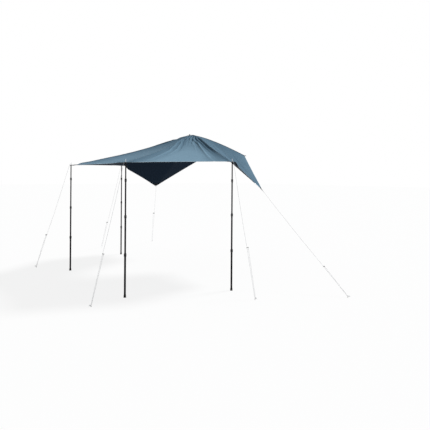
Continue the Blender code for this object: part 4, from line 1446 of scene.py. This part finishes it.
front_corner = corner(eyelet_at["front_right"], gather_u(4), True)
rear_corner = corner(eyelet_at["rear_right"], gather_u(FAN_COLUMNS), True)
wing_corner = corner(eyelet_at["wing_right"], WING_TIP_U, False)
arch_end = arch_point(1) + (wing_corner - arch_point(1)).normalized() * ARCH_FOOT_LENGTH
front_start = mirrored(front_corner, -1)
front_shares = shares(FRONT_MARKS, (front_corner - front_start).length)
front_shares = [1 - share for share in front_shares[:0:-1]] + front_shares

EDGES = (
    {"from": -4, "to": 4, "start": front_start, "end": front_corner,
     "shares": front_shares, "u": (-gather_u(4), gather_u(4)), "hollow": 0.06, "sag": 0.023},
    {"from": 4, "to": 14, "start": front_corner, "end": rear_corner,
     "shares": shares(SIDE_MARKS, (rear_corner - front_corner).length),
     "u": (gather_u(4), gather_u(14)), "hollow": 0.012, "sag": 0},
    {"from": 14, "to": 19, "start": rear_corner, "end": wing_corner,
     "shares": shares(WING_MARKS, (wing_corner - rear_corner).length),
     "u": (gather_u(14), WING_TIP_U), "hollow": 0.02, "sag": 0},
    {"from": 19, "to": 23, "start": wing_corner, "end": arch_end,
     "shares": shares(REAR_MARKS, (arch_end - wing_corner).length),
     "u": (WING_TIP_U, 1), "hollow": 0.02, "sag": 0},
)
print("corners", [tuple(round(x, 3) for x in edge["end"]) for edge in EDGES])


def read_smoothly(stops, place):
    """The value at a place between listed stops, on a smooth curve through them."""
    i = min(int(place), len(stops) - 2)
    a, b = stops[i], stops[i + 1]
    before = stops[i - 1] if i else 2 * a - b
    after = stops[i + 2] if i + 2 < len(stops) else 2 * b - a
    return eased(a, b, (b - before) / 2, (after - a) / 2, place - i)


def midway(share):
    """0 at both ends of a span and 1 in its middle, on a parabola."""
    return 4 * share * (1 - share)


def edge_of(column):
    """The edge of the right half's outline on which a column ends, or its mirror image does."""
    return next(edge for edge in EDGES if abs(column) <= edge["to"])


def column_ends(column):
    """Where a column of the cloth starts on the arch and ends on the outline."""
    edge = edge_of(column)
    run = abs(column) - edge["from"]
    share = read_smoothly(edge["shares"], run)
    step = run / (edge["to"] - edge["from"])
    inner = arch_point(edge["u"][0] + (edge["u"][1] - edge["u"][0]) * step)
    outer = edge["start"].lerp(edge["end"], share)
    bow = midway(share)
    outer += (inner - outer).normalized() * edge["hollow"] * bow - UP * edge["sag"] * bow
    return mirrored(inner, side_of(column)), mirrored(outer, side_of(column))


# %% [markdown]
# The roof sags a little between the arch and the outline, and each panel hangs hollow between the
# taut ridges that run to its corners. At a fitting the cloth lies flat, because something clamps
# it there, so every point near one is drawn on to the fitting's plane.

# %% Sag, hollow panels and flat patches
ROOF_SAG = 0.05
PANEL_SAG = 0.04
BLEND_WIDTH = 0.12
RIDGES = (4, 14, 19)
LONGEST = (eyelet_at["front_right"] - ARCH_PEAK).length


def slack(column):
    """How loose the roof is: 0 on the taut ridge to each corner and on the wings, 1 midway."""
    place = abs(column)
    for edge in EDGES[:2]:
        if edge["from"] <= place <= edge["to"]:
            return midway((place - edge["from"]) / (edge["to"] - edge["from"]))
    return 0


def edge_axes(side):
    """Origin, outward and normal axis of the hook at the peak (0) or at a foot (-1 or 1)."""
    if side == 0:
        front_middle = corner(eyelet_at["front_right"], 0, True)
        out = (ARCH_PEAK - Vector((0, front_middle.y, front_middle.z))).normalized()
        return ARCH_PEAK, out, Vector((1, 0, 0)).cross(out)
    foot = arch_point(1)
    along = (wing_corner - foot).normalized()
    inward = (arch_point(0.9) - foot).normalized()
    normal = inward.cross(along).normalized()
    if normal.z < 0:
        normal.negate()
    out = along.cross(normal)
    if out.dot(inward) > 0:
        out.negate()
    origin = foot + along * (ARCH_FOOT_LENGTH / 2)
    return [mirrored(vector, side) for vector in (origin, out, normal)]


def flat_patches():
    """Where a fitting holds the cloth flat: centre, normal and flat radius."""
    patches = []
    for side in (-1, 1):
        for name in ("front_right", "rear_right"):
            patches.append((mirrored(eyelet_at[name], side), UP, PATCH_RADIUS))
        patches.append((mirrored(eyelet_at["wing_right"], side), wing_normal(side), PATCH_RADIUS))
        origin, _, normal = edge_axes(side)
        patches.append((origin, normal, ARCH_FOOT_LENGTH))
    origin, _, normal = edge_axes(0)
    patches.append((origin, normal, 1.5 * BAND_DEPTH))
    return patches


PATCHES = flat_patches()
print("flat patches", len(PATCHES))


def flattened(point):
    """A point of the cloth, moved on to the plane of each patch that it is close to."""
    for centre, normal, radius in PATCHES:
        away = (point - centre).length - radius
        if away < BLEND_WIDTH:
            share = min(1, 1 - away / BLEND_WIDTH)
            share = share * share * (3 - 2 * share)
            point = point - normal * (point - centre).dot(normal) * share
    return point


def taut_point(inner, outer, column, share):
    """A point of the cloth before any fold: on the straight pull, less its sag."""
    point = inner.lerp(outer, share)
    sag = ROOF_SAG * ((outer - inner).length / LONGEST) ** 2 + PANEL_SAG * slack(column)
    point.z -= sag * midway(share)
    return point


# %% [markdown]
# Three hooks hang the cloth's inner edge on a rail. A hook is grown from its base plate: the
# plate's front strip is raised, the top of it is pushed out, and its end is turned down into a
# lip. Two slim webs stiffen the corner, and a domed rivet holds the plate on the cloth.

# %% Hooks
HOOK_WIDTH = 0.025
HOOK_BASE_LENGTH = 0.030
HOOK_WALL = 0.003
HOOK_RISE = 0.018
HOOK_REACH = 0.020
HOOK_LIP = 0.009
RIVET_HEAD_RADIUS = 0.0055
RIVET_SHANK_RADIUS = 0.003
WEB_LENGTH = 0.008
WEB_WIDTH = 0.002
WEB_ASIDE = 0.007
NEAR = 0.001
low = FLANGE_UNDER
front = HOOK_WALL + SEAT_GAP
back = front - HOOK_WALL
reach = front + HOOK_REACH
top = low + HOOK_RISE


def push_face(model, axis, side, inside, move):
    """Extrude the face that looks along an axis, and lies from one x to another above one z."""

    def wanted(face):
        spot = face.calc_center_median()
        fits = inside[0] < spot.x < inside[1] and inside[2] < spot.z
        return fits and face.normal[axis] * side > 0.9

    pick(model, wanted)
    bpy.ops.mesh.extrude_region_move(TRANSFORM_OT_translate={"value": move})


bpy.ops.mesh.primitive_cube_add(
    size=1, scale=(HOOK_BASE_LENGTH, HOOK_WIDTH, HOOK_WALL),
    location=(front - HOOK_BASE_LENGTH / 2, 0, low + HOOK_WALL / 2),
)
hook = new_model("hook_model")
bpy.ops.object.transform_apply(location=True, scale=True)
bpy.ops.object.mode_set(mode="EDIT")
bpy.ops.mesh.select_all(action="SELECT")
bpy.ops.mesh.bisect(plane_co=(back, 0, 0), plane_no=(1, 0, 0))
strip = (back, front, low)
push_face(hook, 2, 1, strip, (0, 0, HOOK_RISE - 2 * HOOK_WALL))
push_face(hook, 2, 1, strip, (0, 0, HOOK_WALL))
arm = (front - NEAR, front + NEAR, top - HOOK_WALL)
push_face(hook, 0, 1, arm, (HOOK_REACH - HOOK_WALL, 0, 0))
end = (reach - HOOK_WALL - NEAR, reach - HOOK_WALL + NEAR, top - HOOK_WALL)
push_face(hook, 0, 1, end, (HOOK_WALL, 0, 0))
tip = (reach - HOOK_WALL, reach, top - 1.5 * HOOK_WALL)
push_face(hook, 2, -1, tip, (0, 0, HOOK_WALL - HOOK_LIP))
bpy.ops.object.mode_set(mode="OBJECT")
hook.data.materials.append(hook_nylon)
soften(hook, 0.0008, 30, 3)

plate_top = low + HOOK_WALL
rivet = lathe(
    "rivet_model",
    [
        (AXIS, -low - 0.0014), (0.0025, -low - 0.0013), (0.0042, -low - 0.0009),
        (RIVET_HEAD_RADIUS, -low - 0.0003), (RIVET_HEAD_RADIUS, -low), (RIVET_SHANK_RADIUS, -low),
        (RIVET_SHANK_RADIUS, plate_top), (0.0045, plate_top), (0.0043, plate_top + 0.0006),
        (0.0026, plate_top + 0.0011), (AXIS, plate_top + 0.0013),
    ],
    plated, 32,
)
soften(rivet, **FINE_EDGE)
rivet.data.transform(Matrix.Translation((back - HOOK_BASE_LENGTH / 2, 0, 0)))
webs = []
for side in (-1, 1):
    bpy.ops.mesh.primitive_cube_add(
        size=1, scale=(WEB_LENGTH, WEB_WIDTH, WEB_LENGTH),
        location=(back - WEB_LENGTH / 2, side * WEB_ASIDE, plate_top + WEB_LENGTH / 2),
    )
    web = new_model("web_model")
    bpy.ops.object.transform_apply(location=True, scale=True)
    bpy.ops.object.mode_set(mode="EDIT")
    bpy.ops.mesh.select_all(action="SELECT")
    corner_spot = (back, 0, plate_top + WEB_LENGTH)
    bpy.ops.mesh.bisect(plane_co=corner_spot, plane_no=(-1, 0, 1), clear_outer=True, use_fill=True)
    bpy.ops.object.mode_set(mode="OBJECT")
    web.data.materials.append(hook_nylon)
    soften(web, 0.0003, 30)
    webs.append(web)
bpy.ops.object.select_all(action="DESELECT")
for part in (*webs, hook):
    part.select_set(True)
bpy.context.view_layer.objects.active = hook
bpy.ops.object.join()
for side, word in ((0, "peak"), (-1, "left"), (1, "right")):
    origin, out, normal = edge_axes(side)
    matrix = frame_matrix(origin, out, normal.cross(out), normal)
    node = f"{word}_hook"
    set_down(hook, f"{word}_moulded_hook", matrix, "awning", node)
    set_down(rivet, f"{word}_hook_rivet", matrix, "awning", node)
put_away(hook, rivet)

# %% [markdown]
# Folds break the surface up. Pleats fan out of the gather and soon die away. A few long creases
# run on: each has a line of (share of the way down, column) points that it follows, and a height
# and a width that grow apart from the gather. Widths are in metres, so a crease needs to know how
# far apart two columns lie at its place. The left half is pulled tighter by its longer lines, so
# its creases are lower.

# %% Pleats and creases
PLEAT_DEPTH = 0.013
PLEAT_START = 0.12
PLEAT_REACHES = (0.26, 0.34, 0.22, 0.30, 0.20, 0.36, 0.24, 0.30)
PLEAT_DRIFT = 0.35
PLEAT_EDGE = 1.5
# height, width at the gather and at the end, start and end share, then the line it follows
CREASES = (
    (0.028, 0.010, 0.034, 0.04, 0.98, ((0.05, 1.0), (0.23, 4.2), (0.38, 5.6), (0.53, 6.15), (1, 6.2))),
    (0.022, 0.009, 0.025, 0.04, 0.70, ((0.06, 2.2), (0.19, 5.3), (0.30, 6.4), (0.45, 7.0), (1, 7.2))),
    (-0.017, 0.010, 0.022, 0.04, 0.58, ((0.06, 3.2), (0.19, 6.0), (0.30, 7.1), (0.45, 7.6), (1, 7.8))),
    (0.015, 0.008, 0.018, 0.02, 0.34, ((0.03, 3.0), (0.16, 7.2), (0.30, 8.0), (1, 8.4))),
    (0.015, 0.008, 0.018, 0.02, 0.32, ((0.03, 6.0), (0.14, 8.3), (0.30, 9.0), (1, 9.2))),
    (0.012, 0.009, 0.022, 0.04, 0.55, ((0.05, 8.0), (0.35, 10.4), (0.6, 10.6), (1, 10.6))),
    (0.030, 0.010, 0.030, 0.04, 1.02, ((0.05, 9.2), (0.28, 11.4), (0.54, 11.6), (0.86, 11.65), (1, 11.7))),
    (-0.018, 0.010, 0.036, 0.05, 0.94, ((0.05, 11.0), (0.28, 12.3), (0.54, 12.4), (1, 12.3))),
    (0.020, 0.010, 0.034, 0.02, 0.92, ((0.03, 13.2), (0.2, 14.4), (0.45, 13.9), (0.7, 13.5), (1, 13.5))),
    (-0.016, 0.014, 0.042, 0.03, 0.96, ((0.03, 12.2), (0.2, 13.5), (0.45, 13.1), (0.7, 12.7), (1, 12.8))),
    (0.014, 0.020, 0.030, 0.10, 1.00, ((0.05, 15.6), (0.5, 16.4), (1, 17.2))),
    (-0.014, 0.020, 0.026, 0.15, 1.00, ((0.05, 16.4), (0.5, 17.1), (1, 17.9))),
    (-0.012, 0.020, 0.030, 0.20, 0.95, ((0.05, 20.6), (0.5, 20.3), (1, 20.0))),
)
# how many widths from its line a crease is cut off, how fast it rises, and the power of its fall
CREASE_TAIL = 3.5
CREASE_RISE = 7
CREASE_FALL = 0.7
FAR_HALF_CREASES = 0.55
print("creases", len(CREASES))


def on_line(line, share):
    """The column that a crease's line has reached at a share."""
    if share <= line[0][0]:
        return line[0][1]
    for (low, start), (high, end) in zip(line, line[1:]):
        if share <= high:
            t = (share - low) / (high - low)
            return start + (end - start) * t * t * (3 - 2 * t)
    return line[-1][1]


def pleats(column, distance, share):
    """Even folds out of the gather, each running out at its own length."""
    place = abs(column)
    if place >= FAN_COLUMNS:
        return 0
    reach = read_smoothly(PLEAT_REACHES, place / 2)
    fade = max(0, 1 - share / reach) ** 0.8
    rise = min(1, distance / PLEAT_START)
    drift = PLEAT_DRIFT * noise.noise(Vector((column * 0.6, share * 5, 3.7)))
    edge = min(1, (FAN_COLUMNS - place) / PLEAT_EDGE)
    return PLEAT_DEPTH * math.cos(math.pi * (place + drift)) * rise * fade * edge


def creases(column, share, spacing):
    """The long creases, as rounded ridges and valleys along their lines."""
    total = 0
    for height, narrow, wide, start, end, line in CREASES:
        if not start < share < end:
            continue
        width = narrow + (wide - narrow) * share
        off = (abs(column) - on_line(line, share)) * spacing / width
        if abs(off) > CREASE_TAIL:
            continue
        run = (share - start) / (end - start)
        strength = min(1, run * CREASE_RISE) * (1 - run) ** CREASE_FALL
        total += height * strength * math.exp(-off * off)
    return total * (FAR_HALF_CREASES if column < 0 else 1)


# %% [markdown]
# Between the folds the cloth isn't even either. Short tension wrinkles point at each eyelet from
# inside, a slow noise lifts and lowers the whole, and the lines curl the front hem down beside its
# corners. Light and shade are painted on the cloth too: painted shade at the gather, in fold valleys
# and on the flanks, painted light on the outer panels and on the crests of the folds.

# %% Wrinkles, unevenness, curl and fading
WRINKLE_HEIGHT = 0.0022
WRINKLES_FROM = 0.06
WRINKLES_TO = 0.6
WRINKLE_PEAK = 0.2
WRINKLE_SPREAD = 0.12
UNEVEN_HEIGHT = 0.004
SLOW_WAVES = 2.3
QUICK_WAVES = 7.1
QUICK_SHARE = 0.35
FRONT_CURL = 0.013
CURL_REACH = 0.36
CURL_LAST_COLUMN = 4.6
CURL_COLUMN_FADE = 0.6
CURL_STEEPNESS = 1.6
# how much light is painted on each part of the roof, less meaning painted shade, for every other column
# from the middle of the front
PAINTED_LIGHT_PANELS = (0.58, 0.42, 0.02, 0.32, 0.95, 1.1, 0.34, -0.12, 0.0, 0.18, 0.21, 0.21, 0.21)
PAINTED_LIGHT_EVERYWHERE = 0.16
PAINTED_LIGHT_FROM = 0.08
PAINTED_LIGHT_RUN = 0.62
# a fold's crest gets painted highlight and its valley painted shade, up to this share, full at this fold
# height
CREST_PAINTED_LIGHT = 0.32
FULL_CREST_HEIGHT = 0.015


def wrinkles(point):
    """Small wrinkles that point at an eyelet, strongest a hand's length from it."""
    total = 0
    for place in eyelet_at.values():
        away = (point - place).length
        if WRINKLES_FROM < away < WRINKLES_TO:
            angle = math.atan2(point.y - place.y, point.x - place.x)
            wave = math.sin(17 * angle + 5 * place.x) + 0.6 * math.sin(29 * angle + 3 * place.y)
            total += wave * math.exp(-(((away - WRINKLE_PEAK) / WRINKLE_SPREAD) ** 2))
    return WRINKLE_HEIGHT * total


def unevenness(point):
    """A slow noise with a quick one on it, so that no part of the cloth is quite even."""
    slow = noise.noise(point * SLOW_WAVES)
    quick = noise.noise(point * QUICK_WAVES + Vector((5, 1, 9)))
    return UNEVEN_HEIGHT * slow + UNEVEN_HEIGHT * QUICK_SHARE * quick


def front_curl(column, to_edge, to_eyelet):
    """How far the front hem curls down beside its corners, where the lines pull it hardest."""
    in_front = min(1, max(0, (CURL_LAST_COLUMN - abs(column)) / CURL_COLUMN_FADE))
    beside = max(0, 1 - to_eyelet / CURL_REACH) * in_front
    return FRONT_CURL * min(1, CURL_STEEPNESS * beside) * max(0, 1 - to_edge / EDGE_TAPE) ** 2


def painted_light_share(column, share, fold):
    """Painted light on the cloth, painted shade where low: least at the gather, in valleys and on taut
    ridges, most on a crest.
    """
    below_gather = min(1, max(0, (share - PAINTED_LIGHT_FROM) / PAINTED_LIGHT_RUN))
    panel = below_gather ** 0.8 * read_smoothly(PAINTED_LIGHT_PANELS, abs(column) / 2)
    # painted highlight on fold crests and painted shade in fold valleys, by the fold's height
    return max(0, PAINTED_LIGHT_EVERYWHERE + panel) + CREST_PAINTED_LIGHT * min(1, max(-1, fold / FULL_CREST_HEIGHT))


# %% [markdown]
# Rows cross the columns. They lie close together at the gather and along the hem, whose fold and
# stitch lines are real steps in the mesh, and evenly in between. Where the long creases run, the
# columns are closer together too.

# %% Columns and rows of the sheet
PLAIN_STEPS = 8
CREASED_STEPS = 14
CREASED_COLUMNS = range(5, 13)
MIDDLE_ROWS = 56
NEAR_ROWS = (0, 0.006, 0.014, 0.022, 0.030, 0.036, 0.038, 0.046, 0.058, 0.074, 0.092)
FAR_ROWS = (0, 0.003, 0.009, 0.015, 0.021, 0.0255, 0.0268, 0.034, 0.044, 0.058, 0.076)


def column_places():
    """The places of the columns, closer together where the long creases run."""
    places = []
    for column in range(LAST_COLUMN):
        steps = CREASED_STEPS if column in CREASED_COLUMNS else PLAIN_STEPS
        places += [column + i / steps for i in range(steps)]
    places.append(LAST_COLUMN)
    return [-place for place in places[:0:-1]] + places


def row_distances(length):
    """How far from the arch each row crosses a column."""
    close = min(1, length / (NEAR_ROWS[-1] + FAR_ROWS[-1]) / 3)
    near = [row * close for row in NEAR_ROWS]
    far = [length - row * close for row in FAR_ROWS[::-1]]
    span = (far[0] - near[-1]) / (MIDDLE_ROWS + 1)
    return near + [near[-1] + span * (i + 1) for i in range(MIDDLE_ROWS)] + far


columns = column_places()
ends = [column_ends(column) for column in columns]
print("columns", len(columns), "rows", len(row_distances(1)))

# %% [markdown]
# Each point starts on the straight pull, gets its folds and is flattened near a fitting. What the
# finishes need to know is kept with it: how far it lies from the edges, seams and eyelets, how
# curled it is, and how much light or shade is painted on it. Where the cloth is sewn double, it is
# thicker.

# %% Points of the sheet
SINGLE_SHARE = 0.5
BAND_MARGIN = 0.001


def column_gaps(i):
    """How far apart one column lies from the next at column i, on the arch and on the outline."""
    left, right = max(i - 1, 0), min(i + 1, len(ends) - 1)
    apart = columns[right] - columns[left]
    return [(a - b).length / apart for a, b in zip(ends[right], ends[left])]


def weave_axes(column):
    """The level and the sloping axis of the weave, in the panel that a column runs down."""
    edge = edge_of(column)
    start, end = edge["start"], edge["end"]
    normal = (end - start).cross(ARCH_PEAK - start).normalized()
    level = UP.cross(normal).normalized()
    return [mirrored(axis, side_of(column)) for axis in (level, normal.cross(level))]


def seam_distance(column, spacing):
    """How far a point lies from the nearest seam, which runs up a ridge."""
    return min(abs(abs(column) - ridge) for ridge in RIDGES) * spacing


def eyelet_distance(point):
    return min((point - place).length for place in eyelet_at.values())


def is_doubled(to_edge, from_arch, to_eyelet, to_seam):
    """Whether a point lies in the hem, on the webbing, on a patch or on a seam."""
    bound = to_edge < HEM_DEPTH or from_arch < BAND_DEPTH + BAND_MARGIN
    return bound or to_eyelet < PATCH_RADIUS or to_seam < SEAM_HALF_WIDTH


form = bmesh.new()
doubled = form.verts.layers.deform.new()
# how much light or shade is painted at each point
painted_lit = form.verts.layers.float.new("painted_lit")
curled = form.verts.layers.float.new("curled")
grid = []
facts = []
along = 0.0
for i, (column, (inner, outer)) in enumerate(zip(columns, ends)):
    length = (outer - inner).length
    if i:
        along += (outer - ends[i - 1][1]).length
    at_arch, at_edge = column_gaps(i)
    level, uphill = weave_axes(column)
    line = []
    notes = []
    for from_arch in row_distances(length):
        share = from_arch / length
        spacing = at_arch + (at_edge - at_arch) * share
        point = taut_point(inner, outer, column, share)
        fold = pleats(column, from_arch, share) + creases(column, share, spacing)
        lift = fold + wrinkles(point) + unevenness(point) * min(1, 2 * midway(share))
        point.z += lift
        point = flattened(point)
        to_edge = length - from_arch
        to_eyelet = eyelet_distance(point)
        to_seam = seam_distance(column, spacing)
        curl = front_curl(column, to_edge, to_eyelet)
        vert = form.verts.new(point - UP * curl)
        vert[curled] = curl / FRONT_CURL
        double = is_doubled(to_edge, from_arch, to_eyelet, to_seam)
        vert[doubled][0] = 1.0 if double else SINGLE_SHARE
        vert[painted_lit] = painted_light_share(column, share, fold)
        line.append(vert)
        notes.append(((point.dot(level), point.dot(uphill)), (along, to_edge), (from_arch, to_seam)))
    grid.append(line)
    facts.append(notes)
print("outline", round(along, 2), "metres", len(form.verts), "points")

# %% [markdown]
# The faces get three maps: the plain one lies along the weave of each panel, the hem's runs along
# and across the edge, and the seam's holds the distances from the arch and from the nearest seam.

# %% Faces and their maps
maps = [form.loops.layers.uv.new(label) for label in ("metres", "hem", "seam")]
for i in range(len(grid) - 1):
    for row in range(len(grid[i]) - 1):
        places = ((i, row), (i, row + 1), (i + 1, row + 1), (i + 1, row))
        face = form.faces.new([grid[a][b] for a, b in places])
        for loop, (a, b) in zip(face.loops, places):
            for layer, value in zip(maps, facts[a][b]):
                loop[layer].uv = value
print("cloth faces", len(form.faces))

# %% [markdown]
# At each eyelet the sheet gets its hole: the point that the eyelet covers is taken out, and the
# edge that is left is drawn into a circle.

# %% Eyelet holes
HOLE_RADIUS = 0.0082

for place in eyelet_at.values():
    nearest = min(form.verts, key=lambda vert: (vert.co - place).length)
    ring = {vert for face in nearest.link_faces for vert in face.verts}
    ring.discard(nearest)
    bmesh.ops.delete(form, geom=[nearest], context="VERTS")
    for vert in ring:
        vert.co = place + (vert.co - place).normalized() * HOLE_RADIUS
bmesh.ops.recalc_face_normals(form, faces=form.faces)
if sum(face.normal.z for face in form.faces) < 0:
    bmesh.ops.reverse_faces(form, faces=form.faces)
print("cloth faces round the holes", len(form.faces))

# %% [markdown]
# Solidify gives the sheet its thickness, the full one where it is doubled, and puts the dark
# coating on the side below.

# %% The cloth's thickness
CLOTH_THICKNESS = 0.0014

mesh = bpy.data.meshes.new("roof_cloth")
form.to_mesh(mesh)
form.free()
mesh.materials.append(cloth_top)
mesh.materials.append(cloth_under)
distances = mesh.attributes.new("corner", "FLOAT", "POINT")
for vert in mesh.vertices:
    distances.data[vert.index].value = eyelet_distance(vert.co)
mesh.shade_smooth()
roof_cloth = bpy.data.objects.new("roof_cloth", mesh)
bpy.context.scene.collection.objects.link(roof_cloth)
doubled_group = roof_cloth.vertex_groups.new(name="doubled")
wall = roof_cloth.modifiers.new("thickness", "SOLIDIFY")
wall.thickness = CLOTH_THICKNESS
wall.offset = 0
wall.material_offset = 1
wall.vertex_group = doubled_group.name
bpy.ops.object.select_all(action="DESELECT")
bpy.context.view_layer.objects.active = roof_cloth
bpy.ops.object.modifier_apply(modifier=wall.name)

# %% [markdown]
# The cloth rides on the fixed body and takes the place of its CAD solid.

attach(roof_cloth, "awning")
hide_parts("canopy")
